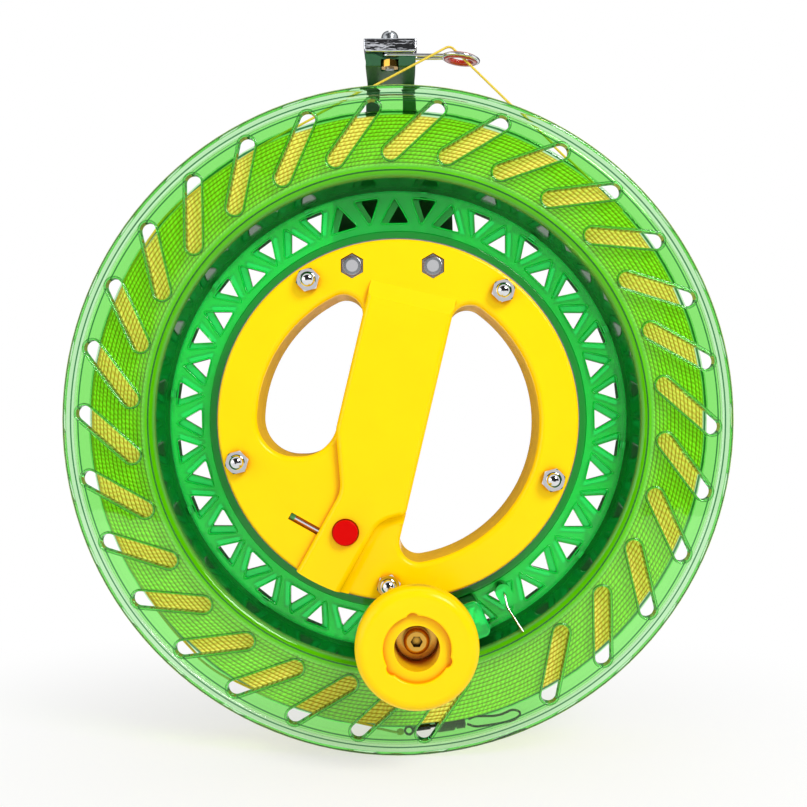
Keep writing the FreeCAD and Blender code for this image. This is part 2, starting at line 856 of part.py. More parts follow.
def brakePad():
    reach = padAlong() + padWidth
    bottom = raceHalfWidth + padGap
    return inBlock(Part.makeBox(padWidth, rockerWidth, padThickness, Vector(reach - padWidth, 0, bottom)))


def pivotRod():
    return Part.makeCylinder(
        pivotDiameter / 2, rodInnerEnd + rodOuterEnd - 0.2, blockPoint(0, -rodInnerEnd + 0.2, pivotHeight),
        blockAcross())


def rodCollar():
    return Part.makeCylinder(
        pivotDiameter / 2, rodCollarLength, blockPoint(0, rodOuterEnd, pivotHeight), blockAcross())


def buttonSpring():
    """Square-section wire wound between the back shell's post and the rocker's arm."""
    height = springTop() - springBottom - springWire - 0.1
    helix = Part.makeHelix(height / springTurns, height, springRadius)
    half = springWire / 2
    profile = Part.makePolygon([Vector(springRadius + a, 0, b) for a, b in
                                ((-half, -half), (half, -half), (half, half), (-half, half), (-half, -half))])
    coil = Part.Wire(helix.Edges).makePipeShell([profile], True, True)
    coil.translate(springSeat() + Vector(0, 0, springBottom + half + 0.05))
    return coil


def plateBolts():
    bolts = []
    for place in boltPlaces():
        head = disc(boltHeadRadius, -faceHeight - boltHeadHeight, -faceHeight, place)
        head = head.makeFillet(0.9, [edge for edge in head.Edges if edge.BoundBox.ZMax < -faceHeight - 1])
        drive = hexagon(2.5, -faceHeight - boltHeadHeight - 1, -faceHeight - 1, place)
        shank = disc(boltDiameter / 2, -faceHeight - 0.5, faceHeight + 2.2, place)
        bolts.append(fuse([head, shank]).cut(drive))
    return Part.makeCompound(bolts)


def domeNuts():
    nuts = []
    for place in boltPlaces():
        body = hexagon(nutFlats, faceHeight, faceHeight + nutHeight, place, 15)
        bevel = Part.makeCone(nutFlats * 0.52 + nutHeight + 1, nutFlats * 0.52, nutHeight + 1,
                              Vector(place.x, place.y, faceHeight - 1))
        dome = Part.makeSphere(domeRadius, place + Vector(0, 0, faceHeight + nutHeight - 0.3))
        thread = disc(boltDiameter / 2, faceHeight - 1, faceHeight + 2.2, place)
        nuts.append(fuse([body.common(bevel), dome]).cut(thread))
    return Part.makeCompound(nuts)


def armBolts():
    bolts = []
    for place in armBoltPlaces():
        back = -faceHeight - armThickness
        head = disc(boltHeadRadius, back - boltHeadHeight, back, place)
        head = head.makeFillet(0.9, [edge for edge in head.Edges if edge.BoundBox.ZMax < back - 1])
        shank = disc(boltDiameter / 2, back - 0.5, faceHeight - 0.4, place)
        drive = hexagon(2.5, back - boltHeadHeight - 1, back - 1, place)
        bolts.append(fuse([head, shank]).cut(drive))
    return Part.makeCompound(bolts)


def nylocNuts():
    nuts = []
    for place in armBoltPlaces():
        bottom = faceHeight - nylocHeight - 0.3
        body = hexagon(nutFlats, bottom, faceHeight - 1.4, place, 90)
        collar = disc(nutFlats / 2 - 0.2, faceHeight - 1.5, faceHeight - 0.4, place)
        rim = [edge for edge in collar.Edges if edge.BoundBox.ZMin > faceHeight - 1]
        collar = collar.makeFillet(0.4, rim)
        thread = disc(boltDiameter / 2, bottom - 1, faceHeight + 1, place)
        nuts.append(fuse([body, collar]).cut(thread))
    return Part.makeCompound(nuts)


def knobBase():
    return bossRise + knobBaseGap


def knob():
    """The crank knob: a flared grip with a lobed recess and a well for the bolt's head."""
    base, top = knobBase(), knobBase() + knobLength
    body = turned([
        (0, base, 0), (knobNeck, base, 1.0), (knobNeck + 0.6, base + 7, 10),
        (knobRadius, top - knobRimHeight, 5), (knobRadius, top, knobRounding), (0, top, 0)])
    recess = disc(knobRecessRadius, top - knobRecessDepth, top + 1)
    lobes = [disc(knobLobeRadius, top - knobRecessDepth, top + 1,
                  polar(knobLobeReach - knobLobeRadius, knobLobeFirst + 120 * index)) for index in range(3)]
    well = disc(knobWellRadius, top - knobWellDepth, top + 1)
    bore = disc(sleeveRadius + runClearance / 2, base - 1, top + 1)
    recess = recess.fuse(lobes)
    body = body.cut([recess, well, bore])
    rims = [edge for edge in body.Edges if edge.BoundBox.ZMin > top - 0.01 and edge.BoundBox.XLength < 24]
    body = body.makeFillet(0.6, rims)
    body.translate(crankPlace())
    return body


def knobSeat():
    """Height of the well's floor, on which the washer keeps the knob."""
    return knobBase() + knobLength - knobWellDepth


def knobSleeve():
    return ring(crankBoltDiameter / 2 + 0.05, sleeveRadius, bossRise, knobSeat() + 0.3, crankPlace())


def knobWasher():
    bottom = knobSeat() + 0.3
    return ring(crankBoltDiameter / 2 + 0.05, crankWasherRadius, bottom, bottom + crankWasherThickness,
                crankPlace())


def knobBolt():
    place = crankPlace()
    bottom = knobSeat() + 0.3 + crankWasherThickness
    head = disc(crankHeadRadius, bottom, bottom + crankHeadHeight, place)
    rim = [edge for edge in head.Edges if edge.BoundBox.ZMin > bottom + 1]
    head = head.makeFillet(crankHeadRounding, rim)
    shank = disc(crankBoltDiameter / 2, 0.6, bottom + 0.5, place)
    top = bottom + crankHeadHeight
    socket = hexagon(crankSocketFlats, top - crankSocketDepth, top + 1, place)
    return fuse([head, shank]).cut(socket)


def knobNut():
    place = crankPlace()
    body = hexagon(crankNutFlats, 0.2, crankNutHeight + 0.2, place)
    return body.cut(disc(crankBoltDiameter / 2, -1, crankNutHeight + 2, place))


def lineClip():
    """Spring wire from the tongue over to the drum's mouth."""
    seat = clipSeat()
    points = [
        seat + Vector(0, 0, tongueRise - 5), seat + Vector(0, 0, tongueRise + 1.6),
        seat + Vector(0.8, -4.0, flangeFace - clipDip - seat.z),
        polar(drumRadius - clipOverlap, clipEndAngle, flangeFace + 0.1)]
    wire, used = tube(points, clipWire, {1: 1.0, 2: 2.0})
    return wire


def armProfile():
    """Side view of the arm: foot on the back shell, leg behind the wheel, flat head over the rim."""
    front = -wheelHalfWidth - armGap
    back = front - armThickness
    foot = -faceHeight
    return [
        (armFootBottom, foot, 1.0), (armFootBottom, foot - armThickness, 1.0),
        (plateRadius + 2, foot - armThickness, 4.0), (plateRadius + 14, back, 6.0), (headTop, back, 3.0),
        (headTop, headFront, 0.6), (headBottom, headFront, 0.6), (headBottom, front, 3.0),
        (plateRadius + 15, front, 6.0), (plateRadius + 3, foot, 4.0)]


def armOutline():
    """Front view of the arm: wide foot, tapering shoulders, two legs' width and a slightly waisted head."""
    halfHead, halfFoot = headWidth / 2, armFootWidth / 2
    left, right = armMiddle - halfHead, armMiddle + halfHead
    foot = armBoltMiddle
    waist, below = headBottom + 1, headBottom - 5
    return [
        (foot - halfFoot, armFootBottom, 4), (foot - halfFoot, plateRadius + 20, 6),
        (left, armShoulder + 8, 8),
        (left, below, 6), (left + headWaist, waist, 6), (left + headWaist / 4, headTop + 1, 0),
        (right - headWaist / 4, headTop + 1, 0), (right - headWaist, waist, 6), (right, below, 6),
        (right, armShoulder + 8, 8), (foot + halfFoot, plateRadius + 20, 6),
        (foot + halfFoot, armFootBottom, 4)]


def guideArm():
    side = Part.Face(roundedWire(armProfile(), lambda a, b: Vector(-60, a, b))).extrude(Vector(120, 0, 0))
    front = prism(armOutline(), -60, 60)
    arm = side.common(front)
    inner = headWidth / 2 - legWidth
    window = prism([
        (armMiddle - inner, armShoulder + 6, 2), (armMiddle + inner, armShoulder + 6, 2),
        (armMiddle + inner, headBottom, 2), (armMiddle - inner, headBottom, 2)], -60, -wheelHalfWidth)
    holes = [disc(boltDiameter / 2 + boltClearance, -40, 0, place) for place in armBoltPlaces()]
    slotHalf = guideNutFlats / 2 + 0.3
    nutSlot = Part.makeBox(
        2 * slotHalf, guideNutHeight + 0.4, headFront + 1 - guideDepth + guideNutFlats / 2 + 0.5,
        Vector(guideScrewX() - slotHalf, headTop - guideShelf - guideNutHeight - 0.3,
               guideDepth - guideNutFlats / 2 - 0.5))
    bore = Part.makeCylinder(guideScrewRadius + 0.1, 14, guidePlace(headTop - 10), Vector(0, 1, 0))
    eyeRadius = guideScrewRadius + eyeClearance + guideWire + 0.1
    floor = headTop - guideWire - clampGap
    eyePocket = Part.makeCylinder(eyeRadius, 5, guidePlace(floor), Vector(0, 1, 0))
    stemPocket = Part.makeBox(headWidth, 5, 2 * eyeRadius, guidePlace(floor, -eyeRadius))
    notch = prism([
        (guideScrewX() - headNotchWidth / 2, headTop, 0), (guideScrewX() + headNotchWidth / 2, headTop, 0),
        (guideScrewX(), headTop - headNotchDrop, 0)], headFront - headNotchDepth, headFront + 1)
    return arm.cut([window, nutSlot, bore, eyePocket, stemPocket, notch] + holes)


def guidePlace(height, forward=0.0):
    """A place on the guide screw's axis at a height, moved forward if asked."""
    return Vector(guideScrewX(), height, guideDepth + forward)


def guideScrewX():
    return armMiddle - 0.2


def saddle():
    """Block over the arm's head that clamps the guide's wires in their pocket."""
    low = headTop + clampGap
    half = headWidth / 2
    block = prism([
        (armMiddle - half, low + clampHeight, 0.4), (armMiddle - half, low, clampRounding),
        (armMiddle + half, low, clampRounding), (armMiddle + half, low + clampHeight, 0.4)],
        -clampBack, headFront + clampReach)
    brow = [edge for edge in block.Edges if edge.BoundBox.XLength > headWidth - 2 * clampRounding - 1
            and edge.BoundBox.ZMin > headFront and edge.BoundBox.YMin > low + 1]
    boreRadius = guideScrewRadius + eyeClearance
    bore = Part.makeCylinder(boreRadius, 2 * clampHeight, guidePlace(headTop - 1), Vector(0, 1, 0))
    return block.makeFillet(0.6, brow).cut(bore)


def guideScrew():
    low = headTop + clampGap + clampHeight
    head = Part.makeCylinder(guideScrewHead, guideScrewHeadHeight, guidePlace(low), Vector(0, 1, 0))
    head = head.makeFillet(
        guideScrewHead - 0.6, [edge for edge in head.Edges if edge.BoundBox.YMin > low + 1])
    bottom = headTop - guideShelf - guideNutHeight - 0.6
    shank = Part.makeCylinder(guideScrewRadius, low - bottom + 0.3, guidePlace(bottom), Vector(0, 1, 0))
    slotFloor = guidePlace(low + guideScrewHeadHeight - 1, -1.5 * guideScrewHead)
    slot = Part.makeBox(0.8, 1.2, 3 * guideScrewHead, slotFloor)
    slot.translate(Vector(-0.4, 0, 0))
    return fuse([head, shank]).cut(slot)


def guideNut():
    nut = hexagon(guideNutFlats, 0, guideNutHeight, Vector(0, 0, 0), 30)
    nut = nut.cut(disc(guideScrewRadius + threadGap, -1, guideNutHeight + 1))
    return onGuide(nut, headTop - guideShelf - guideNutHeight)


def onGuide(shape, height):
    """Stands a piece drawn about z on the guide screw's axis, at a height."""
    shape.rotate(Vector(0, 0, 0), Vector(1, 0, 0), -90)
    shape.translate(guidePlace(height))
    return shape


def ringTilted(shape):
    """Moves a piece drawn about z out to the guide ring's place and tips it about the ring's inner side."""
    shape.translate(Vector(guideRingX - guideScrewX(), 0, 0))
    shape.rotate(Vector(guideRingX - guideScrewX() - guideRingRadius, 0, 0), Vector(0, 1, 0), guideRingTilt)
    return shape


def guideHeight():
    return headTop - guideWire / 2


def guideFrame():
    """Wire frame of the guide: an eye round the screw, two stems and the ring that holds the ceramic."""
    eyeRadius = guideScrewRadius + eyeClearance + guideWire / 2
    pieces = [Part.makeTorus(eyeRadius, guideWire / 2, Vector(0, 0, 0), up),
              ringTilted(Part.makeTorus(guideRingRadius, guideRingTube, Vector(0, 0, 0), up))]
    inset = math.sqrt(guideRingRadius ** 2 - guideStemSpread ** 2)
    for side in (-1, 1):
        start = Vector(0.4, side * eyeRadius, 0)
        end = Vector(guideRingX - guideScrewX() - inset, side * guideStemSpread, 0)
        pieces.append(Part.makeCylinder(guideWire / 2, (end - start).Length, start, end - start))
    return onGuide(fuse(pieces), guideHeight())


def guideRing():
    """Rounded ceramic ring, grooved round its outside for the wire that holds it."""
    half = ceramicHalfHeight
    bead = turned([
        (ceramicBore, -half, ceramicRounding), (ceramicOuter, -half, ceramicRounding / 2),
        (ceramicOuter, half, ceramicRounding / 2), (ceramicBore, half, ceramicRounding)])
    bead = bead.cut(Part.makeTorus(guideRingRadius, guideRingTube + ceramicSeatGap, Vector(0, 0, 0), up))
    return onGuide(ringTilted(bead), guideHeight())


def linePoints():
    """Corners of the loose line: off the wound line, through the ring and round to the swivel."""
    lying = [polar(lineLieRadius, lineLieFirst + index * lineLieStep, depth)
             for index, depth in enumerate(lineLieDepths)]
    return [lineOff, lineTop] + lying + [lineEnd]


def kiteLine():
    line, used = tube(linePoints(), lineDiameter, {1: ringArc})
    print("line arcs", [round(radius, 1) for radius in used], "volume", round(line.Volume, 1))
    return line


def swivelFrame(shape):
    """Lays a piece drawn along x on from the line's end, with its zero where the knot ends."""
    shape.rotate(Vector(0, 0, 0), up, swivelAngle)
    shape.translate(lineEnd + polar(knotLength, swivelAngle))
    return shape


def turnedAlong(corners):
    """A solid of revolution about x."""
    shape = turned(corners)
    shape.rotate(Vector(0, 0, 0), Vector(0, 1, 0), 90)
    return shape


def lineKnot():
    return swivelFrame(turnedAlong([
        (0, -knotLength, 0), (0.8, -knotLength + 0.3, 0.4), (1.2, -1.2, 0.6), (0.8, -0.1, 0.3), (0, 0, 0)]))


def swivelEye():
    """The line's side of the swivel: an eye, a small barrel and the journal that turns in the large one."""
    eye = Part.makeTorus(swivelEyeRadius, swivelEyeWire, Vector(swivelEyeRadius + swivelEyeWire, 0, 0), up)
    small = turnedAlong([(0, smallBarrelStart, 0), (barrelSmall, smallBarrelStart, 0.4),
                         (barrelSmall, smallBarrelEnd, 0.3), (0, smallBarrelEnd, 0)])
    overlap, head = 0.2, journalRadius + journalHead
    journal = turnedAlong([
        (0, smallBarrelEnd - overlap, 0), (journalRadius, smallBarrelEnd - overlap, 0),
        (journalRadius, journalNeckEnd, 0), (head, journalNeckEnd, 0),
        (head, journalEnd, 0), (0, journalEnd, 0)])
    start, end = smallBarrelStart - swivelEyeWire, smallBarrelStart + overlap
    stalk = turnedAlong([(0, start, 0), (swivelStalk, start, 0), (swivelStalk, end, 0), (0, end, 0)])
    return swivelFrame(fuse([eye, small, journal, stalk]))


def swivelBarrel():
    """The large barrel and the snap's coils, which turn on the journal."""
    gap = journalGap
    neck, head = journalRadius + gap, journalRadius + journalHead + gap
    return swivelFrame(turnedAlong([
        (neck, barrelStart, 0), (barrelLarge, barrelStart, 0.9), (barrelLarge, barrelEnd, 0.9),
        (stalkRadius, barrelEnd, 0), (stalkRadius, stalkEnd, 0.3), (0, stalkEnd, 0), (0, journalEnd + gap, 0),
        (head, journalEnd + gap, 0), (head, journalNeckEnd - gap, 0), (neck, journalNeckEnd - gap, 0)]))


def snapHook():
    """Wire snap: a long loop with a hooked end."""
    points = [
        Vector(21.25, -0.6, 0), Vector(24.0, -snapHalfWidth, 0), Vector(31.0, -snapHalfWidth, 0),
        Vector(37.0, -1.6, 0), Vector(40.2, 0.4, 0), Vector(37.4, 2.2, 0), Vector(32.0, 0.6, 0),
        Vector(24.4, snapHalfWidth - 0.4, 0), Vector(21.9, 0.9, 0)]
    wire, used = tube(points, snapWire)
    return swivelFrame(wire)


def write(name, shape):
    upright = shape.copy()
    upright.rotate(Vector(0, 0, 0), Vector(1, 0, 0), 90)
    upright.exportStep("parts/" + name + ".step")
    print(name, "solids", len(upright.Solids), "valid", upright.isValid(), "volume", round(upright.Volume, 1))


pieces = {
    "front_half": frontHalf, "back_half": backHalf, "wound_line": woundLine,
    "bearing_outer_race": lambda: race(outerRaceInner, outerRaceOuter),
    "bearing_inner_race": lambda: race(innerRaceBore, innerRaceOuter),
    "bearing_balls": balls, "bearing_cage": cage,
    "front_plate": lambda: frontShell().cut(gripZone()), "back_plate": lambda: backShell().cut(gripZone()),
    "front_grip": lambda: frontShell().common(gripZone()),
    "back_grip": lambda: backShell().common(gripZone()),
    "plate_bolts": plateBolts, "dome_nuts": domeNuts,
    "arm_bolts": armBolts, "nyloc_nuts": nylocNuts,
    "brake_button": brakeButton, "brake_rocker": rocker, "brake_pad": brakePad, "pivot_rod": pivotRod,
    "rod_collar": rodCollar, "button_spring": buttonSpring,
    "knob": knob, "knob_sleeve": knobSleeve, "knob_washer": knobWasher, "knob_bolt": knobBolt,
    "knob_nut": knobNut, "line_clip": lineClip,
    "guide_arm": guideArm, "guide_saddle": saddle, "guide_screw": guideScrew, "guide_nut": guideNut,
    "guide_frame": guideFrame, "guide_ring": guideRing,
    "kite_line": kiteLine, "line_knot": lineKnot, "swivel_eye": swivelEye, "swivel_barrel": swivelBarrel,
    "line_snap": snapHook}

os.makedirs("parts", exist_ok=True)
for name, make in pieces.items():
    write(name, make())
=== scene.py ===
import bpy
import json
import math
import numpy as np
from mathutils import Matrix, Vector


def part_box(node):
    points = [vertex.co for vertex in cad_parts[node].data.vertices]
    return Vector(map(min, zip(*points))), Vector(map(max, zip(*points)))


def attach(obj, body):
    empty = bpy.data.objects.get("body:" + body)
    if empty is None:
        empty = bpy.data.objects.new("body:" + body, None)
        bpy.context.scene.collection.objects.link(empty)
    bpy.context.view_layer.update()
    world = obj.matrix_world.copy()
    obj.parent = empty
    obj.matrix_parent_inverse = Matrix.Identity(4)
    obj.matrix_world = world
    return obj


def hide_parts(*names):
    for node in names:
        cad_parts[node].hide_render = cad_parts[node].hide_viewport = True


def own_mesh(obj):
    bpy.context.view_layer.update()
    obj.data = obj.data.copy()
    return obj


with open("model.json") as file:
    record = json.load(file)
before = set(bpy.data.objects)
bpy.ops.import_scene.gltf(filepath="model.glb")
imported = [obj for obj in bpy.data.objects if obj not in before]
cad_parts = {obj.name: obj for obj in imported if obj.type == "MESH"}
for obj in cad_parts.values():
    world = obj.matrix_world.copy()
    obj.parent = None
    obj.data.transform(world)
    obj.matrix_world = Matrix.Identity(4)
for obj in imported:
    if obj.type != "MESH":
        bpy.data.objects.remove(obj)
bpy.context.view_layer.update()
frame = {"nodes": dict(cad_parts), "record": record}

mm = 0.001
nodes = frame["nodes"]
scene = bpy.context.scene
print("frame loaded:", len(nodes), "nodes")


def hexColor(text):
    # each byte over 255, then the sRGB curve's straight foot or its power, gives the shaders' linear value
    parts = [int(text[i:i + 2], 16) / 255 for i in (1, 3, 5)]
    return tuple(c / 12.92 if c <= 0.04045 else ((c + 0.055) / 1.055) ** 2.4 for c in parts) + (1.0,)


def addNode(tree, kind, settings=None, inputs=None):
    # adds a node with its settings; an input is a value, or another node's output to link from
    node = tree.nodes.new(kind)
    for key, value in (settings or {}).items():
        setattr(node, key, value)
    for key, value in (inputs or {}).items():
        if isinstance(value, bpy.types.NodeSocket):
            tree.links.new(value, node.inputs[key])
        else:
            node.inputs[key].default_value = value
    return node


def newMaterial(name):
    # a material with an empty node tree, and that tree
    material = bpy.data.materials.new(name)
    material.use_nodes = True
    material.node_tree.nodes.clear()
    return material, material.node_tree


# Camera: level with the hub, 42 cm in front of the wheel's middle plane
cameraSetup = {"place": (1.8 * mm, -420 * mm, 5.4 * mm), "lens": 54.59, "sensor": 36.0, "nearest": 0.01}
cameraData = bpy.data.cameras.new("frontView")
cameraData.lens = cameraSetup["lens"]
cameraData.sensor_width = cameraSetup["sensor"]
cameraData.clip_start = cameraSetup["nearest"]
camera = bpy.data.objects.new("frontView", cameraData)
camera.location = cameraSetup["place"]
camera.rotation_euler = (math.radians(90), 0, 0)
scene.collection.objects.link(camera)
scene.camera = camera

# Kite line: off the wound line, up through the ceramic ring, over the guide arm and round to the swivel
cordSetup = {
    "diameter": 0.8,
    "length": 430,
    "points": [  # millimetres; the two beside the ring keep the line inside it
        (74.3, -13.2, 69.1), (20.31, -4.36, 124.3), (17.6, -3.9, 127.2), (14.18, -4.22, 125.15),
        (-70.51, -12.0, 78.31), (-92.66, -12.4, 45.86), (-103.05, -12.4, 8.4), (-98.87, -12.2, -30.24),
        (-80.71, -11.8, -64.63), (-52.89, -11.0, -92.9), (-0.6, -8.0, -104.9)]}
lineCurve = bpy.data.curves.new("kiteLineCord", "CURVE")
lineCurve.dimensions = "3D"
lineCurve.bevel_depth = 1.0  # each point's radius is then the line's own, in metres
lineCurve.bevel_resolution = 3
lineCurve.resolution_u = 16
lineCurve.use_fill_caps = True
lineSpline = lineCurve.splines.new("NURBS")
lineSpline.points.add(len(cordSetup["points"]) - 1)
for point, place in zip(lineSpline.points, cordSetup["points"]):
    point.co = tuple(c * mm for c in place) + (1.0,)
    point.radius = cordSetup["diameter"] * mm / 2
lineSpline.order_u = 3
lineSpline.use_endpoint_u = True
kiteLine = bpy.data.objects.new("kiteLineCord", lineCurve)
scene.collection.objects.link(kiteLine)
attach(kiteLine, "disc")
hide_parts("kite_line")
print("camera and kite line placed")

# Lamps: one large soft key from the upper right and a weak fill from the left; metres and watts
lightSetup = {
    "key": {"place": (0.55, -0.75, 0.70), "size": 0.45, "power": 9.0},
    "fill": {"place": (-0.80, -0.60, 0.15), "size": 0.70, "power": 2.5}}
for lightName, setup in lightSetup.items():
    lamp = bpy.data.lights.new(lightName, "AREA")
    lamp.shape = "DISK"
    lamp.size = setup["size"]
    lamp.energy = setup["power"]
    lampObject = bpy.data.objects.new(lightName, lamp)
    lampObject.location = setup["place"]
    aim = -Vector(setup["place"])
    lampObject.rotation_euler = aim.to_track_quat("-Z", "Y").to_euler()
    scene.collection.objects.link(lampObject)

# Strength of the white world for each kind of ray. From, Full and To say where a part of it lies: the
# cosine of its angle to straight ahead of the wheel's front, or for the field to straight behind its back.
worldSetup = {
    "camera": 1.0, "diffuse": 0.55,
    "sides": 1.0, "behind": 0.06, "behindFrom": -0.6, "behindTo": 0.0,
    "walls": 0.03, "wallsFrom": 0.30, "wallsFull": 0.42, "wallsTo": 0.974,
    "card": 0.72, "cardFrom": 0.984,
    "field": 1.0, "outside": 0.04, "fieldFrom": 0.30, "fieldTo": 0.72}


def studioWorld():
    # White to the camera. Clear plastic sees it white straight behind and dark beside, which draws dark
    # lines along its edges. Polished metal sees white sides, dark walls nearer the front and a bright card
    # in the middle. Each strength is mixed over the one before by a smooth step of the ray's direction or
    # by its kind.
    world = bpy.data.worlds.new("studio")
    world.use_nodes = True
    tree = world.node_tree
    tree.nodes.clear()
    rays = addNode(tree, "ShaderNodeLightPath")
    direction = addNode(tree, "ShaderNodeTexCoord").outputs["Generated"]
    backward = addNode(tree, "ShaderNodeSeparateXYZ", inputs={"Vector": direction}).outputs["Y"]
    forward = addNode(tree, "ShaderNodeMath", {"operation": "MULTIPLY"}, {0: backward, 1: -1.0}).outputs[0]
    smooth = {"interpolation_type": "SMOOTHSTEP"}
    sides = addNode(tree, "ShaderNodeMapRange", smooth, {
        "Value": forward, "From Min": worldSetup["behindFrom"], "From Max": worldSetup["behindTo"],
        "To Min": worldSetup["behind"], "To Max": worldSetup["sides"]})
    walls = addNode(tree, "ShaderNodeMapRange", smooth, {
        "Value": forward, "From Min": worldSetup["wallsFrom"], "From Max": worldSetup["wallsFull"]})
    card = addNode(tree, "ShaderNodeMapRange", smooth, {
        "Value": forward, "From Min": worldSetup["wallsTo"], "From Max": worldSetup["cardFrom"]})
    field = addNode(tree, "ShaderNodeMapRange", smooth, {
        "Value": backward, "From Min": worldSetup["fieldFrom"], "From Max": worldSetup["fieldTo"],
        "To Min": worldSetup["outside"], "To Max": worldSetup["field"]})
    strength = sides.outputs[0]
    for share, value in ((walls.outputs[0], worldSetup["walls"]),
                         (card.outputs[0], worldSetup["card"]),
                         (rays.outputs["Is Diffuse Ray"], worldSetup["diffuse"]),
                         (rays.outputs["Is Transmission Ray"], field.outputs[0]),
                         (rays.outputs["Is Camera Ray"], worldSetup["camera"])):
        strength = addNode(tree, "ShaderNodeMix", {"data_type": "FLOAT"}, {
            "Factor": share, "A": strength, "B": value}).outputs[0]
    background = addNode(tree, "ShaderNodeBackground", inputs={"Color": (1, 1, 1, 1), "Strength": strength})
    addNode(tree, "ShaderNodeOutputWorld", inputs={"Surface": background.outputs[0]})
    return world


scene.world = studioWorld()
scene.view_settings.view_transform = "Standard"

# Floor just under the wheel's rim; millimetres, and the fade's distances are from the middle of the floor
floorSetup = {
    "height": -110.3, "half": 900, "color": "#F2F2F0", "fadeFrom": 30, "fadeTo": 240, "nearWhite": 0.6}


def floorBoard():
    # matte white board that takes the shadow; a smooth step of the distance from the middle mixes it over
    # to plain white, for the camera, reflections and what is seen through plastic
    material, tree = newMaterial("matte white board")
    place = addNode(tree, "ShaderNodeTexCoord").outputs["Object"]
    flatPlace = addNode(tree, "ShaderNodeVectorMath", {"operation": "MULTIPLY"}, {0: place, 1: (1, 1, 0)})
    away = addNode(tree, "ShaderNodeVectorMath", {"operation": "LENGTH"}, {0: flatPlace.outputs["Vector"]})
    fade = addNode(tree, "ShaderNodeMapRange", {"interpolation_type": "SMOOTHSTEP"}, {
        "Value": away.outputs["Value"], "From Min": floorSetup["fadeFrom"] * mm,
        "From Max": floorSetup["fadeTo"] * mm, "To Min": floorSetup["nearWhite"], "To Max": 1.0})
    rays = addNode(tree, "ShaderNodeLightPath")
    seen = rays.outputs["Is Camera Ray"]
    for kind in ("Is Transmission Ray", "Is Glossy Ray"):
        seen = addNode(tree, "ShaderNodeMath", {"operation": "MAXIMUM"}, {
            0: seen, 1: rays.outputs[kind]}).outputs[0]
    share = addNode(tree, "ShaderNodeMath", {"operation": "MULTIPLY"}, {0: seen, 1: fade.outputs[0]})
    board = addNode(tree, "ShaderNodeBsdfDiffuse", inputs={"Color": hexColor(floorSetup["color"])})
    white = addNode(tree, "ShaderNodeEmission", inputs={"Color": (1, 1, 1, 1), "Strength": 1.0})
    mixed = addNode(tree, "ShaderNodeMixShader", inputs={
        0: share.outputs[0], 1: board.outputs[0], 2: white.outputs[0]})
    addNode(tree, "ShaderNodeOutputMaterial", inputs={"Surface": mixed.outputs[0]})
    return material


corner = floorSetup["half"] * mm
level = floorSetup["height"] * mm
floorMesh = bpy.data.meshes.new("floor")
floorMesh.from_pydata(
    [(-corner, -corner, level), (corner, -corner, level), (corner, corner, level), (-corner, corner, level)],
    [], [(0, 1, 2, 3)])
floorMesh.materials.append(floorBoard())
floor = bpy.data.objects.new("floor", floorMesh)
scene.collection.objects.link(floor)
print("studio set")


def band(tree, value, low, high, soft):
    # 1 between low and high, falling to 0 over soft on either side (all in millimetres)
    rise = addNode(tree, "ShaderNodeMapRange", inputs={
        "Value": value, "From Min": (low - soft) * mm, "From Max": low * mm})
    fall = addNode(tree, "ShaderNodeMapRange", inputs={
        "Value": value, "From Min": high * mm, "From Max": (high + soft) * mm, "To Min": 1.0, "To Max": 0.0})
    return addNode(tree, "ShaderNodeMath", {"operation": "MULTIPLY"}, {
        0: rise.outputs[0], 1: fall.outputs[0]}).outputs[0]


def letLightThrough(tree, surface, glow, clearness):
    # light that only passes through is tinted and not bent, as far as the surface is clear, so that it
    # lights what lies behind
    rays = addNode(tree, "ShaderNodeLightPath")
    passing = addNode(tree, "ShaderNodeMath", {"operation": "MAXIMUM"}, {
        0: rays.outputs["Is Shadow Ray"], 1: rays.outputs["Is Diffuse Ray"]})
    passing = addNode(tree, "ShaderNodeMath", {"operation": "MULTIPLY"}, {
        0: passing.outputs[0], 1: clearness})
    through = addNode(tree, "ShaderNodeBsdfTransparent", inputs={"Color": glow})
    mixed = addNode(tree, "ShaderNodeMixShader", inputs={
        0: passing.outputs[0], 1: surface.outputs[0], 2: through.outputs[0]})
    addNode(tree, "ShaderNodeOutputMaterial", inputs={"Surface": mixed.outputs[0]})


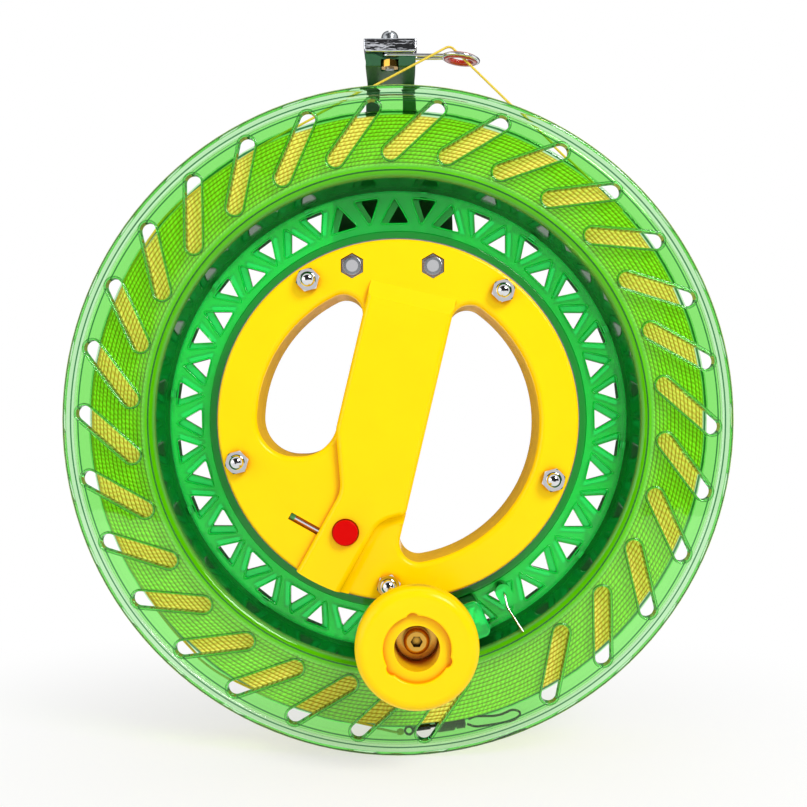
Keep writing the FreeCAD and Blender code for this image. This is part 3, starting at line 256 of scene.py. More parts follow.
# Moulded clear polycarbonate, tinted green: polished tool, so it is clear and glossy with a faint flow
# ripple. Its zones lie over one another in this order, in millimetres: radii are distances from the axle,
# with their soft edge, height is the distance from the middle plane, with its own, and density is how far a
# zone hides what is behind it.
clearSetup = {
    "tint": "#92F27A", "ior": 1.58, "roughness": 0.03, "wallRoughness": 0.3, "specular": 0.15,
    "ripple": 7.0, "rippleStrength": 0.12, "rippleDepth": 0.3, "glow": (0.86, 1.0, 0.62, 1),
    "wallFull": 5.0, "wallNone": 16.0,  # heights: painted shade, the drum's wall tinted dark deep inside, clearing towards its mouth
    "sideFull": 0.10, "sideNone": 0.35,  # cosines: how far a cut side may face the front
    "zones": {
        # lip: a paler tint on the rim's lip, painted sheen of the bright room
        "lip": {"color": "#C6F6C0", "density": 0.0, "radii": [(106.3, 120)], "soft": 0.3},
        # wall: painted shade, a dark tint deep in the drum where little light reaches
        "wall": {"color": "#147008", "density": 0.0, "radii": [(77.6, 81.9)], "soft": 0.2},
        # mouth: painted light, a lime band half hiding what is behind, for the lit wound line seen through
        # the mouth
        "mouth": {"color": "#58C000", "density": 0.75, "radii": [(80.8, 82.8)], "soft": 1.6,
                  "height": (16.8, 25, 1.5)},
        "web": {"color": "#10F868", "density": 0.35, "radii": [(61.0, 77.8)], "soft": 0.3,
                "height": (-1, 21.0, 0.4)},
        "hub": {"color": "#0CB03A", "density": 0.5, "radii": [(61.0, 64.0)], "soft": 0.3},
        # edge: painted dark lines where steps in the moulding would show dark
        "edge": {"color": "#14602A", "density": 0.35, "soft": 0.2, "height": (18.5, 25, 0.5),
                 "radii": [(81.85, 82.15), (104.65, 104.95), (106.9, 107.2), (109.25, 109.55)]},
        # side: painted shade on cut sides that face sideways, dark green and half hiding what is behind
        "side": {"color": "#0A6A24", "density": 0.55, "radii": [(60, 106.0)], "soft": 0.3}}}


def clearPlastic():
    # each zone is the largest of its bands by radius, times its band by height, and its colour and density
    # are mixed over those before it, which paints the light and shade of the lip, wall, mouth, edge and side
    # zones; a wide noise ripples the surface
    material, tree = newMaterial("moulded clear polycarbonate, green")
    coordinates = addNode(tree, "ShaderNodeTexCoord")
    place = coordinates.outputs["Object"]
    flatPlace = addNode(tree, "ShaderNodeVectorMath", {"operation": "MULTIPLY"}, {0: place, 1: (1, 0, 1)})
    radius = addNode(tree, "ShaderNodeVectorMath", {"operation": "LENGTH"}, {
        0: flatPlace.outputs["Vector"]}).outputs["Value"]
    axes = addNode(tree, "ShaderNodeSeparateXYZ", inputs={"Vector": place})
    height = addNode(tree, "ShaderNodeMath", {"operation": "ABSOLUTE"}, {0: axes.outputs["Y"]}).outputs[0]
    normal = addNode(tree, "ShaderNodeSeparateXYZ", inputs={"Vector": coordinates.outputs["Normal"]})
    facing = addNode(tree, "ShaderNodeMath", {"operation": "ABSOLUTE"}, {0: normal.outputs["Y"]}).outputs[0]
    smooth = {"interpolation_type": "SMOOTHSTEP"}
    deep = addNode(tree, "ShaderNodeMapRange", smooth, {
        "Value": height, "From Min": clearSetup["wallFull"] * mm, "From Max": clearSetup["wallNone"] * mm,
        "To Min": 1.0, "To Max": 0.0})
    cut = addNode(tree, "ShaderNodeMapRange", smooth, {
        "Value": facing, "From Min": clearSetup["sideFull"], "From Max": clearSetup["sideNone"],
        "To Min": 1.0, "To Max": 0.0})
    limits = {"wall": deep.outputs[0], "side": cut.outputs[0]}
    tint, density, masks = hexColor(clearSetup["tint"]), 0.0, {}
    for name, zone in clearSetup["zones"].items():
        mask = 0.0
        for low, high in zone["radii"]:
            mask = addNode(tree, "ShaderNodeMath", {"operation": "MAXIMUM"}, {
                0: band(tree, radius, low, high, zone["soft"]), 1: mask}).outputs[0]
        if "height" in zone:
            mask = addNode(tree, "ShaderNodeMath", {"operation": "MULTIPLY"}, {
                0: mask, 1: band(tree, height, *zone["height"])}).outputs[0]
        if name in limits:
            mask = addNode(tree, "ShaderNodeMath", {"operation": "MULTIPLY"}, {
                0: mask, 1: limits[name]}).outputs[0]
        tint = addNode(tree, "ShaderNodeMix", {"data_type": "RGBA"}, {
            0: mask, 6: tint, 7: hexColor(zone["color"])}).outputs[2]
        density = addNode(tree, "ShaderNodeMix", {"data_type": "FLOAT"}, {
            "Factor": mask, "A": density, "B": zone["density"]}).outputs[0]
        masks[name] = mask
    clearness = addNode(tree, "ShaderNodeMath", {"operation": "SUBTRACT"}, {0: 1.0, 1: density}).outputs[0]
    flow = addNode(tree, "ShaderNodeTexNoise", inputs={
        "Vector": place, "Scale": 1 / (clearSetup["ripple"] * mm), "Detail": 1.0})
    ripple = addNode(tree, "ShaderNodeBump", inputs={
        "Height": flow.outputs[0], "Strength": clearSetup["rippleStrength"],
        "Distance": clearSetup["rippleDepth"] * mm})
    satin = addNode(tree, "ShaderNodeMix", {"data_type": "FLOAT"}, {
        "Factor": masks["wall"], "A": clearSetup["roughness"], "B": clearSetup["wallRoughness"]})
    plastic = addNode(tree, "ShaderNodeBsdfPrincipled", inputs={
        "Base Color": tint, "Transmission Weight": clearness, "IOR": clearSetup["ior"],
        "Specular IOR Level": clearSetup["specular"], "Roughness": satin.outputs[0],
        "Normal": ripple.outputs[0]})
    letLightThrough(tree, plastic, clearSetup["glow"], clearness)
    return material


# The beads are the same plastic, too thin to look tinted: white in the middle, dark along both sides.
beadFinish = {
    "tint": "#B4EEB0", "roughness": 0.1, "ripple": 2.5, "rippleStrength": 0.3, "rippleDepth": 0.2,
    "glow": (0.9, 1.0, 0.9, 1)}


def beadPlastic():
    # clear all through, with a noise that ripples the surface
    material, tree = newMaterial("moulded clear polycarbonate, bead")
    place = addNode(tree, "ShaderNodeTexCoord").outputs["Object"]
    flow = addNode(tree, "ShaderNodeTexNoise", inputs={
        "Vector": place, "Scale": 1 / (beadFinish["ripple"] * mm), "Detail": 1.0})
    ripple = addNode(tree, "ShaderNodeBump", inputs={
        "Height": flow.outputs[0], "Strength": beadFinish["rippleStrength"],
        "Distance": beadFinish["rippleDepth"] * mm})
    glass = addNode(tree, "ShaderNodeBsdfPrincipled", inputs={
        "Base Color": hexColor(beadFinish["tint"]), "Transmission Weight": 1.0, "IOR": clearSetup["ior"],
        "Roughness": beadFinish["roughness"], "Normal": ripple.outputs[0]})
    letLightThrough(tree, glass, beadFinish["glow"], 1.0)
    return material


# Twisted polyester line, three strands: each turn has painted slanting highlights one strand apart, and
# painted shade between turns. Slant, jitter and waveShift are counted in strands; wave, fuzz, patch and depth
# are millimetres.
lineSetup = {
    "light": "#FFFC70", "dark": "#DCA820", "gap": "#B48E18", "roughness": 0.5, "specular": 0.1,
    "slant": 0.55, "jitter": 0.3, "wave": 6.0, "waveShift": 1.6, "strandFrom": 0.04, "strandTo": 0.42,
    "fuzz": 0.25, "fuzzShare": 0.35, "patch": 9.0, "patchShare": 0.30, "shineAndMottleFrom": -0.5, "shineAndMottleTo": 1.2,
    "gapFrom": 0.02, "gapTo": 0.24, "depth": 0.2, "relief": 0.8}


def twistedLine():
    # u counts strands along a turn and v counts turns; u plus a slant across the turn, a chance shift for
    # each turn and a slow wave gives the strands' painted highlights, and v's fraction gives the painted
    # shade in the gaps between turns
    material, tree = newMaterial("twisted polyester line")
    uv = addNode(tree, "ShaderNodeUVMap", {"uv_map": "turns"}).outputs[0]
    axes = addNode(tree, "ShaderNodeSeparateXYZ", inputs={"Vector": uv})
    across = addNode(tree, "ShaderNodeMath", {"operation": "FRACT"}, {0: axes.outputs["Y"]}).outputs[0]
    turn = addNode(tree, "ShaderNodeMath", {"operation": "FLOOR"}, {0: axes.outputs["Y"]}).outputs[0]
    chance = addNode(tree, "ShaderNodeTexWhiteNoise", {"noise_dimensions": "1D"}, {
        "W": turn}).outputs["Value"]
    place = addNode(tree, "ShaderNodeTexCoord").outputs["Object"]
    noises = {}
    for name, detail in (("wave", 1.0), ("fuzz", 2.0), ("patch", 2.0)):
        noises[name] = addNode(tree, "ShaderNodeTexNoise", inputs={
            "Vector": place, "Scale": 1 / (lineSetup[name] * mm), "Detail": detail}).outputs[0]
    shifted = axes.outputs["X"]
    for value, amount in ((across, "slant"), (chance, "jitter"), (turn, "slant"),
                          (noises["wave"], "waveShift")):
        shifted = addNode(tree, "ShaderNodeMath", {"operation": "MULTIPLY_ADD"}, {
            0: value, 1: lineSetup[amount], 2: shifted}).outputs[0]
    rows = {}
    for name, value in (("strand", shifted), ("gap", across)):
        halfWave = addNode(tree, "ShaderNodeMath", {"operation": "PINGPONG"}, {0: value, 1: 0.5})
        rows[name] = addNode(tree, "ShaderNodeMapRange", {"interpolation_type": "SMOOTHSTEP"}, {
            "Value": halfWave.outputs[0], "From Min": lineSetup[name + "From"],
            "From Max": lineSetup[name + "To"]}).outputs[0]
    # painted highlights along the strands, plus a chance mottle of fibres and patches
    strandShineAndMottle = rows["strand"]
    for name in ("fuzz", "patch"):
        strandShineAndMottle = addNode(tree, "ShaderNodeMath", {"operation": "MULTIPLY_ADD"}, {
            0: noises[name], 1: lineSetup[name + "Share"], 2: strandShineAndMottle}).outputs[0]
    strandShineAndMottle = addNode(tree, "ShaderNodeMapRange", inputs={
        "Value": strandShineAndMottle, "From Min": lineSetup["shineAndMottleFrom"], "From Max": lineSetup["shineAndMottleTo"]})
    shade = addNode(tree, "ShaderNodeMix", {"data_type": "RGBA"}, {
        0: strandShineAndMottle.outputs[0], 6: hexColor(lineSetup["dark"]), 7: hexColor(lineSetup["light"])})
    # painted shade in the gaps between turns
    shade = addNode(tree, "ShaderNodeMix", {"data_type": "RGBA"}, {
        0: rows["gap"], 6: hexColor(lineSetup["gap"]), 7: shade.outputs[2]})
    relief = addNode(tree, "ShaderNodeBump", inputs={
        "Height": rows["strand"], "Strength": lineSetup["relief"], "Distance": lineSetup["depth"] * mm})
    yarn = addNode(tree, "ShaderNodeBsdfPrincipled", inputs={
        "Base Color": shade.outputs[2], "Roughness": lineSetup["roughness"],
        "Specular IOR Level": lineSetup["specular"], "Normal": relief.outputs[0]})
    addNode(tree, "ShaderNodeOutputMaterial", inputs={"Surface": yarn.outputs[0]})
    return material


# What a plain surface has unless its own settings say otherwise. Grain, cloud, depth, reach and scatter are
# millimetres; roughLow and roughHigh are shares of its roughness.
plainSetup = {
    "grain": 1.2, "cloud": 14, "bump": 0.1, "depth": 0.05, "specular": 0.5, "metallic": 0.0, "coat": 0.0,
    "coatRoughness": 0.05, "subsurface": 0.0, "scatter": 1.5, "noiseFrom": 0.3, "noiseTo": 0.7,
    "roughLow": 0.8, "roughHigh": 1.25, "nookFrom": 0.35, "nookTo": 0.85, "nookSamples": 8}


def plainMaterial(name, settings):
    # a broad noise mixes two near colours, a fine noise varies the roughness and raises the surface, and
    # where other faces are within reach, the colour goes over to a painted shade colour
    settings = {**plainSetup, **settings}
    material, tree = newMaterial(name)
    place = addNode(tree, "ShaderNodeTexCoord").outputs["Object"]
    if "stretch" in settings:
        place = addNode(tree, "ShaderNodeMapping", inputs={
            "Vector": place, "Scale": settings["stretch"]}).outputs[0]
    fine = addNode(tree, "ShaderNodeTexNoise", inputs={
        "Vector": place, "Scale": 1 / (settings["grain"] * mm), "Detail": 3.0})
    broad = addNode(tree, "ShaderNodeTexNoise", inputs={
        "Vector": place, "Scale": 1 / (settings["cloud"] * mm), "Detail": 2.0})
    color = addNode(tree, "ShaderNodeMix", {"data_type": "RGBA"}, {
        0: broad.outputs[0], 6: hexColor(settings["color"]), 7: hexColor(settings["second"])})
    rough = addNode(tree, "ShaderNodeMapRange", inputs={
        "Value": fine.outputs[0], "From Min": settings["noiseFrom"], "From Max": settings["noiseTo"],
        "To Min": settings["roughness"] * settings["roughLow"],
        "To Max": settings["roughness"] * settings["roughHigh"]})
    bump = addNode(tree, "ShaderNodeBump", inputs={
        "Height": fine.outputs[0], "Strength": settings["bump"], "Distance": settings["depth"] * mm})
    # painted shade: near other faces the colour goes over to the shade colour
    if "creviceShade" in settings:
        nook = addNode(tree, "ShaderNodeAmbientOcclusion", {"samples": settings["nookSamples"]}, {
            "Distance": settings["reach"] * mm})
        nook = addNode(tree, "ShaderNodeMapRange", {"interpolation_type": "SMOOTHSTEP"}, {
            "Value": nook.outputs["AO"], "From Min": settings["nookFrom"], "From Max": settings["nookTo"]})
        color = addNode(tree, "ShaderNodeMix", {"data_type": "RGBA"}, {
            0: nook.outputs[0], 6: hexColor(settings["creviceShade"]), 7: color.outputs[2]})
    shader = addNode(tree, "ShaderNodeBsdfPrincipled", inputs={
        "Base Color": color.outputs[2], "Roughness": rough.outputs[0], "Normal": bump.outputs[0],
        "Metallic": settings["metallic"], "Specular IOR Level": settings["specular"],
        "Coat Weight": settings["coat"], "Coat Roughness": settings["coatRoughness"],
        "Subsurface Weight": settings["subsurface"], "Subsurface Scale": settings["scatter"] * mm})
    if "ior" in settings:
        shader.inputs["IOR"].default_value = settings["ior"]
    addNode(tree, "ShaderNodeOutputMaterial", inputs={"Surface": shader.outputs[0]})
    return material


materials = {
    "clear_green": clearPlastic(),
    "line_yellow": twistedLine(),
    # ABS moulded in a polished tool: glossy and opaque; near other faces it is painted orange, a painted
    # shade for the light that comes back orange from its corners
    "yellow_plastic": plainMaterial("moulded ABS, yellow", {
        "color": "#FFD600", "second": "#FFCE00", "creviceShade": "#E88400", "reach": 7, "specular": 0.15,
        "roughness": 0.2, "ior": 1.53, "grain": 4.0, "bump": 0.06, "depth": 0.2}),
    # the same ABS in red for the button
    "red_plastic": plainMaterial("moulded ABS, red", {
        "color": "#D40302", "second": "#C60201", "specular": 0.05, "roughness": 0.2, "ior": 1.53,
        "grain": 3.0, "bump": 0.05}),
    # and in green for the rod's collar, a little less polished: the green is a painted reflection of the
    # green wheel in the rod's end
    "green_plastic": plainMaterial("green of the wheel, painted reflection on the rod's end", {
        "color": "#5CD080", "second": "#4CC070", "roughness": 0.3, "ior": 1.53, "grain": 2.0}),
    # glass-filled nylon for the arm: satin, with fine pitting where the glass lies near the skin
    "dark_green_plastic": plainMaterial("glass-filled nylon, dark green", {
        "color": "#1C5A2C", "second": "#235438", "roughness": 0.42, "ior": 1.53, "grain": 0.35, "bump": 0.35,
        "depth": 0.06}),
    # natural nylon: milky and slightly waxy
    "cage_nylon": plainMaterial("moulded nylon, natural", {
        "color": "#E6E2D0", "second": "#DCD7C2", "roughness": 0.45, "ior": 1.53, "subsurface": 0.2}),
    # nickel-chrome plate on turned steel: mirror-like, fine turning marks
    "bright_steel": plainMaterial("nickel-chrome plate", {
        "color": "#E4E4E6", "second": "#D8D9DC", "roughness": 0.07, "metallic": 1.0, "grain": 0.5,
        "bump": 0.04, "depth": 0.02}),
    # bright zinc plate: silver with a slight blue cast and a satin haze
    "zinc_steel": plainMaterial("bright zinc plate", {
        "color": "#B9BDC2", "second": "#A9ADB0", "roughness": 0.28, "metallic": 1.0, "grain": 0.4,
        "bump": 0.12, "depth": 0.03}),
    # ground bearing steel: fine rings round the axle
    "bearing_steel": plainMaterial("ground bearing steel", {
        "color": "#C9CACC", "second": "#BBBDC0", "roughness": 0.16, "metallic": 1.0, "grain": 0.3,
        "bump": 0.1, "depth": 0.02, "stretch": (1, 6, 1)}),
    # turned brass: warm and bright, with painted shade nearly black down in the bolt's socket and beside
    # its head
    "brass_sleeve": plainMaterial("turned brass", {
        "color": "#E0B050", "second": "#C89438", "creviceShade": "#140A02", "reach": 2.0, "roughness": 0.14,
        "metallic": 1.0, "grain": 0.4, "bump": 0.15, "depth": 0.03, "stretch": (1, 5, 1)}),
    # glazed ceramic: hard gloss over a deep red body
    "red_ceramic": plainMaterial("glazed ceramic, red", {
        "color": "#B42A14", "second": "#9C1E0E", "roughness": 0.12, "coat": 0.6, "grain": 2.0, "bump": 0.03}),
    # nitrile rubber: black and dull, with a fine tooth
    "pad_rubber": plainMaterial("nitrile rubber", {
        "color": "#151515", "second": "#1C1C1C", "roughness": 0.7, "grain": 0.4, "bump": 0.4}),
    # black nickel on the swivel and snap: dark mirror
    "dark_nickel": plainMaterial("black nickel plate", {
        "color": "#4A4A4E", "second": "#3A3A3E", "roughness": 0.15, "metallic": 1.0, "grain": 0.4,
        "bump": 0.06, "depth": 0.02})}
beadClear = beadPlastic()

# Loose twisted line: too thin here for its strands, so the fibres show as a fine mottle 0.4 mm across.
looseLine = plainMaterial("twisted polyester line, single", {
    "color": "#F4DC4A", "second": "#C9A428", "roughness": 0.55, "grain": 0.4, "cloud": 0.6, "bump": 0.5,
    "depth": 0.08})
lineCurve.materials.append(looseLine)

# The clamp block is bright plate over a cast surface, so its face shows wavy streaks.
waveChrome = plainMaterial("nickel-chrome plate over a casting", {
    "color": "#E8EAF0", "second": "#D8DCE4", "roughness": 0.1, "metallic": 1.0, "grain": 3.0, "bump": 0.7,
    "depth": 0.8, "stretch": (0.35, 1, 1.2)})

# Every CAD node takes its slot's material and is welded and smoothed up to its creases. They are in
# degrees, and the wheel halves' start at a smaller angle; weld is in millimetres.
creaseSetup = {"usual": 32, "front_half": 28, "back_half": 28, "weld": 0.001}
slotOf = {part["node"]: part["material_slot"] for part in frame["record"]["subparts"]}
for name, thing in nodes.items():
    data = thing.data
    if not data.materials:
        data.materials.append(None)
    for index in range(len(data.materials)):
        data.materials[index] = materials[slotOf[name]]
    data.polygons.foreach_set("use_smooth", np.ones(len(data.polygons), bool))
    weld = thing.modifiers.new("weld", "WELD")
    weld.merge_threshold = creaseSetup["weld"] * mm
    crease = thing.modifiers.new("crease", "EDGE_SPLIT")
    crease.split_angle = math.radians(creaseSetup.get(name, creaseSetup["usual"]))
    flats = thing.modifiers.new("flats", "WEIGHTED_NORMAL")
    flats.keep_sharp = True
nodes["line_knot"].data.materials[0] = looseLine
nodes["guide_saddle"].data.materials[0] = waveChrome
print("materials on", len(nodes), "nodes")


def gridMesh(name, points, loopU, loopV, material, uv=None):
    # a quad surface on an nu x nv grid of points; loopU or loopV joins the last row or column to the first;
    # a leading axis holds several such grids
    points = points.reshape((-1,) + points.shape[-3:])
    copies, nu, nv = points.shape[:3]
    i, j = np.meshgrid(np.arange(nu if loopU else nu - 1), np.arange(nv if loopV else nv - 1), indexing="ij")
    iNext, jNext = (i + 1) % nu, (j + 1) % nv
    quads = np.stack([i * nv + j, iNext * nv + j, iNext * nv + jNext, i * nv + jNext], axis=-1)
    quads = (quads.reshape(1, -1, 4) + np.arange(copies)[:, None, None] * nu * nv).reshape(-1, 4)
    mesh = bpy.data.meshes.new(name)
    mesh.vertices.add(copies * nu * nv)
    mesh.vertices.foreach_set("co", points.reshape(-1).astype(np.float32))
    mesh.loops.add(quads.size)
    mesh.loops.foreach_set("vertex_index", quads.reshape(-1).astype(np.int32))
    mesh.polygons.add(len(quads))
    mesh.polygons.foreach_set("loop_start", np.arange(0, quads.size, 4, dtype=np.int32))
    mesh.polygons.foreach_set("loop_total", np.full(len(quads), 4, dtype=np.int32))
    mesh.polygons.foreach_set("use_smooth", np.ones(len(quads), bool))
    if uv is not None:
        layer = mesh.uv_layers.new(name="turns")
        layer.data.foreach_set("uv", uv(i, j).reshape(-1).astype(np.float32))
    mesh.update()
    mesh.validate()
    mesh.materials.append(material)
    thing = bpy.data.objects.new(name, mesh)
    scene.collection.objects.link(thing)
    return thing


# Moulded beads: a raised edge round each slot and window of the wheel; millimetres, and degrees clockwise
# from the top. The flange is whole at solidPlace. A kind of window is its apex's and its base's distance
# from the axle, its width and its first angle.
beadSetup = {
    "slotRadius": 0.42, "slots": 30, "solidPlace": 13, "slotInner": 87.9, "slotOuter": 102.8, "slotHalf": 2.6,
    "slotFirst": 7.2, "slotSweep": 8.7, "flangeFace": 19.4, "windowRadius": 0.3, "webFace": 2.5,
    "windows": [(75.4, 67.0, 9.4, 14.0), (67.0, 75.4, 8.2, 6.7)], "windowsAround": 24, "corner": 0.1,
    "endPoints": 13, "sides": 10}


def turned(radius, degrees):
    # a place at an angle clockwise from the top, seen from the front: radius times the sine and the cosine
    angle = np.radians(degrees)
    return np.array([radius * np.sin(angle), radius * np.cos(angle)])


def slotPath(angle):
    # two half circles, one round each end of the slot, and the straight runs between them
    near = turned(beadSetup["slotInner"], angle - beadSetup["slotSweep"])
    far = turned(beadSetup["slotOuter"], angle)
    along = (far - near) / np.linalg.norm(far - near)
    side = np.array([-along[1], along[0]])
    reach = beadSetup["slotHalf"] + beadSetup["slotRadius"]
    sweep = np.linspace(-np.pi / 2, np.pi / 2, beadSetup["endPoints"])[:, None]
    ends = [centre + reach * (np.cos(sweep + turn) * along + np.sin(sweep + turn) * side)
            for centre, turn in ((far, 0), (near, np.pi))]
    return np.concatenate(ends)


def windowPath(apex, base, width, angle):
    # the window's triangle grown from its incentre by the bead's radius, each corner cut to three points,
    # and the whole turned about the axle
    corners = np.array([(apex, 0), (base, width / 2), (base, -width / 2)])
    lengths = np.linalg.norm(np.roll(corners, 1, axis=0) - np.roll(corners, -1, axis=0), axis=1)
    middle = (corners * lengths[:, None]).sum(axis=0) / lengths.sum()
    inner = abs(width * (apex - base)) / lengths.sum()
    corners = middle + (corners - middle) * (1 + beadSetup["windowRadius"] / inner)
    before, after = np.roll(corners, 1, axis=0), np.roll(corners, -1, axis=0)
    cut = beadSetup["corner"]
    path = np.stack([corners + (before - corners) * cut, corners + (before + after - 2 * corners) * cut / 4,
                     corners + (after - corners) * cut], axis=1).reshape(-1, 2)
    turn = np.radians(angle)
    return np.stack([path[:, 0] * np.sin(turn) - path[:, 1] * np.cos(turn),
                     path[:, 0] * np.cos(turn) + path[:, 1] * np.sin(turn)], axis=-1)


def beads(name, flats, depth, radius, material):
    # a round bead along each closed path, half sunk in the face at that depth: the path plus a circle on the
    # direction across it and the axle's
    paths = np.stack([flats[:, :, 0], np.full(flats.shape[:2], depth), flats[:, :, 1]], axis=-1)
    tangent = np.roll(paths, -1, axis=1) - np.roll(paths, 1, axis=1)
    tangent /= np.linalg.norm(tangent, axis=2, keepdims=True)
    axle = np.array([0, 1.0, 0])
    across = np.cross(tangent, axle)
    angle = (np.arange(beadSetup["sides"]) / beadSetup["sides"] * 2 * np.pi)[None, None, :, None]
    points = paths[:, :, None] + radius * (np.cos(angle) * across[:, :, None] + np.sin(angle) * axle)
    thing = gridMesh(name, points * mm, True, True, material)
    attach(thing, "wheel")


slotLoops = np.stack([slotPath(beadSetup["slotFirst"] + 360 / beadSetup["slots"] * k)
                      for k in range(beadSetup["slots"]) if k != beadSetup["solidPlace"]])
windowLoops = np.stack([windowPath(apex, base, width, first + 360 / beadSetup["windowsAround"] * k)
                        for apex, base, width, first in beadSetup["windows"]
                        for k in range(beadSetup["windowsAround"])])
mirror = np.array([-1, 1])  # the back half is the front half turned round
beads("slotBeadsFront", slotLoops, -beadSetup["flangeFace"], beadSetup["slotRadius"], beadClear)
beads("slotBeadsBack", slotLoops * mirror, beadSetup["flangeFace"], beadSetup["slotRadius"], beadClear)
beads("windowBeadsFront", windowLoops, -beadSetup["webFace"], beadSetup["windowRadius"],
      materials["clear_green"])
beads("windowBeadsBack", windowLoops * mirror, beadSetup["webFace"], beadSetup["windowRadius"],
      materials["clear_green"])
print("beads round", 2 * len(slotLoops), "slots and", 2 * len(windowLoops), "windows")

# Wound line: turn beside turn, in a front, a middle and a back slab; millimetres. The pitch is wider than
# the 0.8 mm line, so that its turns show. The crown lowers the outermost turns towards the flanges. Each
# wave of the laying is a weight, a number round the axle, a phase, and what radius and depth add to the
# phase.
woundSetup = {
    "inner": 82.4, "outer": 101.1, "halfWidth": 15.38, "slab": 2.2, "pitch": 1.25, "bulge": 0.3,
    "around": 600, "steps": 5, "twist": 1.6, "hiddenTurns": 2, "uvMargin": 0.001,
    "crown": 0.3, "crownBelow": 2, "crownFade": 1.5, "wander": 0.08, "calmDepth": 4,
    "waves": [(1.0, 3, 0.0, 0.31, 0.0), (0.6, 7, 1.7, 0.83, 0.5), (0.4, 13, 2.9, 1.9, 0.0)]}


def bumpyRun(start, end, count, outward):
    # points from start to end: count turns side by side, each a raised half sine; the last point is left to
    # the next run
    t = np.arange(count * woundSetup["steps"]) / (count * woundSetup["steps"])
    lift = woundSetup["bulge"] * (np.abs(np.sin(np.pi * t * count)) - 1)
    line = np.outer(1 - t, start) + np.outer(t, end)
    return line + np.outer(lift, outward), t * count


def woundPiece(name, runs):
    # profile in (radius, y), carried round the axle; radius wanders by a few sines, so that the turns look
    # laid by hand
    profile, turns = [], []
    base = 0
    for start, end, count, outward in runs:
        points, order = bumpyRun(start, end, count, outward)
        profile.append(points)
        turns.append(order + base)
        base += count
    profile, turns = np.concatenate(profile), np.concatenate(turns)
    r, y = profile[:, :1], profile[:, 1:]
    flat = woundSetup["halfWidth"] / 2  # the crown starts half-way from the middle plane to each side
    edge = np.clip((np.abs(y) - flat) / flat, 0, 1)
    top = np.clip((r - woundSetup["outer"] + woundSetup["crownBelow"]) / woundSetup["crownFade"], 0, 1)
    calm = np.clip((r - woundSetup["inner"]) / woundSetup["calmDepth"], 0, 1)
    theta = np.arange(woundSetup["around"]) / woundSetup["around"] * 2 * np.pi
    waves = sum(weight * np.sin(number * theta + phase + byRadius * r + byDepth * y)
                for weight, number, phase, byRadius, byDepth in woundSetup["waves"])
    radius = r - woundSetup["crown"] * edge ** 2 * top + woundSetup["wander"] * calm * waves
    points = np.stack([radius * np.cos(theta), y + 0 * theta, radius * np.sin(theta)], axis=-1) * mm
    # whole twists in each turn, so that the pattern closes
    middle = np.repeat(profile[:, 0].reshape(-1, woundSetup["steps"]).mean(axis=1), woundSetup["steps"])
    twists = np.round(2 * np.pi * middle / woundSetup["twist"])

    def strandsAndTurns(i, j):
        # u is the share of the way round times the turn's twists, and v is the turn's number plus the share
        # across it, kept just inside the quad
        u = [twists[i] * (j + k) / woundSetup["around"] for k in (0, 0, 1, 1)]
        low = turns[i] + woundSetup["uvMargin"]
        high = turns[i] + 1 / woundSetup["steps"] - woundSetup["uvMargin"]
        return np.stack([np.stack(u, axis=-1), np.stack([low, high, high, low], axis=-1)], axis=-1)

    thing = gridMesh(name, points, True, True, materials["line_yellow"], strandsAndTurns)
    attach(thing, "wheel")
    return thing


inner, outer, half, slab = (woundSetup[key] for key in ("inner", "outer", "halfWidth", "slab"))
seam, hidden = half - slab, woundSetup["hiddenTurns"]
sideTurns = round((outer - inner) / woundSetup["pitch"])
topTurns = round(2 * seam / woundSetup["pitch"])
slabTurns = round(slab / woundSetup["pitch"])
woundPieces = []
for side, name in ((-1, "woundLineFront"), (1, "woundLineBack")):
    near, far = side * seam, side * half
    runs = [((inner, far), (outer, far), sideTurns, (0, side)),
            ((outer, far), (outer, near), slabTurns, (1, 0)),
            ((outer, near), (inner, near), hidden, (0, 0)),
            ((inner, near), (inner, far), slabTurns, (-1, 0))]
    if side > 0:  # the other way round, so that its faces point outwards too
        runs = [(end, start, count, outward) for start, end, count, outward in reversed(runs)]
    woundPieces.append(woundPiece(name, runs))
woundPieces.append(woundPiece("woundLineMiddle", [
    ((outer, -seam), (outer, seam), topTurns, (1, 0)), ((outer, seam), (inner, seam), hidden, (0, 0)),
    ((inner, seam), (inner, -seam), hidden, (0, 0)), ((inner, -seam), (outer, -seam), hidden, (0, 0))]))
for thing in woundPieces:
    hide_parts("wound_line")
print("wound line:", sideTurns, "turns deep,", topTurns + 2 * slabTurns, "wide")


def tubeAlong(name, path, radius, sides, material):
    # a ring of points round each point of the path, on two directions square to it; the ends are drawn in
    # to tip times the radius, which closes them
    offPath = np.array([0.3, 1.0, 0.2])  # a direction that no path here runs along
    tip = 0.02
    tangent = np.gradient(path, axis=0)
    tangent /= np.linalg.norm(tangent, axis=1, keepdims=True)
    first = np.cross(tangent, offPath)
    first /= np.linalg.norm(first, axis=1, keepdims=True)
    second = np.cross(tangent, first)
    girth = np.full(len(path), radius)
    girth[[0, -1]] = radius * tip
    angle = np.arange(sides) / sides * 2 * np.pi
    points = path[:, None] + girth[:, None, None] * (
        np.cos(angle)[None, :, None] * first[:, None] + np.sin(angle)[None, :, None] * second[:, None])
    return gridMesh(name, points, False, True, material)


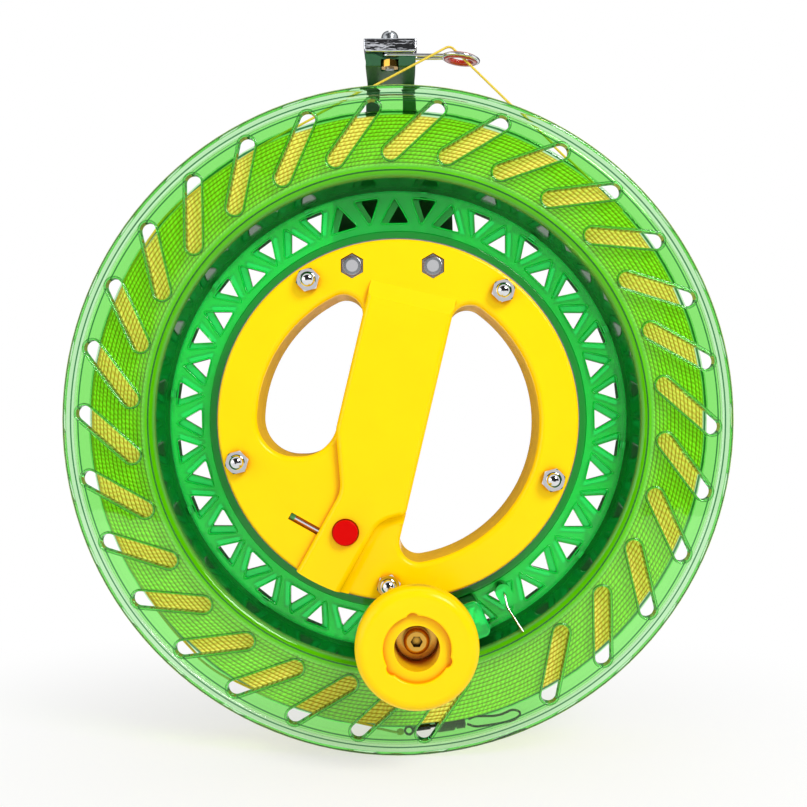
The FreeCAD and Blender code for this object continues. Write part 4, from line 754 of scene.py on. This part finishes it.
def helixPath(start, end, turns, pointsPerTurn, radius, first, second):
    # a straight line from start to end, plus radius times the cosine of the turn's angle along first and its
    # sine along second
    t = np.linspace(0, 1, pointsPerTurn * turns + 1)[:, None]
    angle = t * turns * 2 * np.pi
    return start + (end - start) * t + radius * (np.cos(angle) * first + np.sin(angle) * second)


# The snap's wire is wound round the swivel's stalk: a close helix along the swivel's axis. Millimetres;
# start and end are measured from the knot's end, wire is its radius, and lean is the axis's slope in
# degrees.
snapSetup = {
    "knot": 2.6, "start": 17.6, "end": 20.6, "turns": 5, "pointsPerTurn": 24, "radius": 1.45, "wire": 0.33,
    "sides": 8, "lean": 8.2}
lean = math.radians(snapSetup["lean"])
alongSwivel = np.array([math.cos(lean), 0, math.sin(lean)])
besideSwivel = np.array([-math.sin(lean), 0, math.cos(lean)])
knotEnd = np.array(cordSetup["points"][-1]) + snapSetup["knot"] * alongSwivel
coilPath = helixPath(knotEnd + snapSetup["start"] * alongSwivel, knotEnd + snapSetup["end"] * alongSwivel,
                     snapSetup["turns"], snapSetup["pointsPerTurn"], snapSetup["radius"],
                     besideSwivel, np.array([0, -1.0, 0]))
coils = tubeAlong("snapCoils", coilPath * mm, snapSetup["wire"] * mm, snapSetup["sides"],
                  materials["dark_nickel"])
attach(coils, "snap")

# The button's spring: round wire between its post and the rocker.
# Millimetres; wire is its radius, and kept is the share of its length that is left at full press.
springSetup = {"radius": 1.9, "wire": 0.24, "sides": 8, "turns": 4, "pointsPerTurn": 20, "kept": 0.82}
low, high = (np.array(corner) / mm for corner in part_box("button_spring"))
middle = (low + high) / 2
springEnds = [np.array([middle[0], y, middle[2]])
              for y in (low[1] + springSetup["wire"], high[1] - springSetup["wire"])]
springPath = helixPath(springEnds[0], springEnds[1], springSetup["turns"], springSetup["pointsPerTurn"],
                       springSetup["radius"], np.array([1.0, 0, 0]), np.array([0, 0, 1.0]))
spring = tubeAlong("buttonSpring", springPath * mm, springSetup["wire"] * mm, springSetup["sides"],
                   materials["zinc_steel"])
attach(spring, "disc")
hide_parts("button_spring")
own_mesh(spring)
print("snap's coils and", round(float(high[1] - low[1]), 1), "mm spring placed")
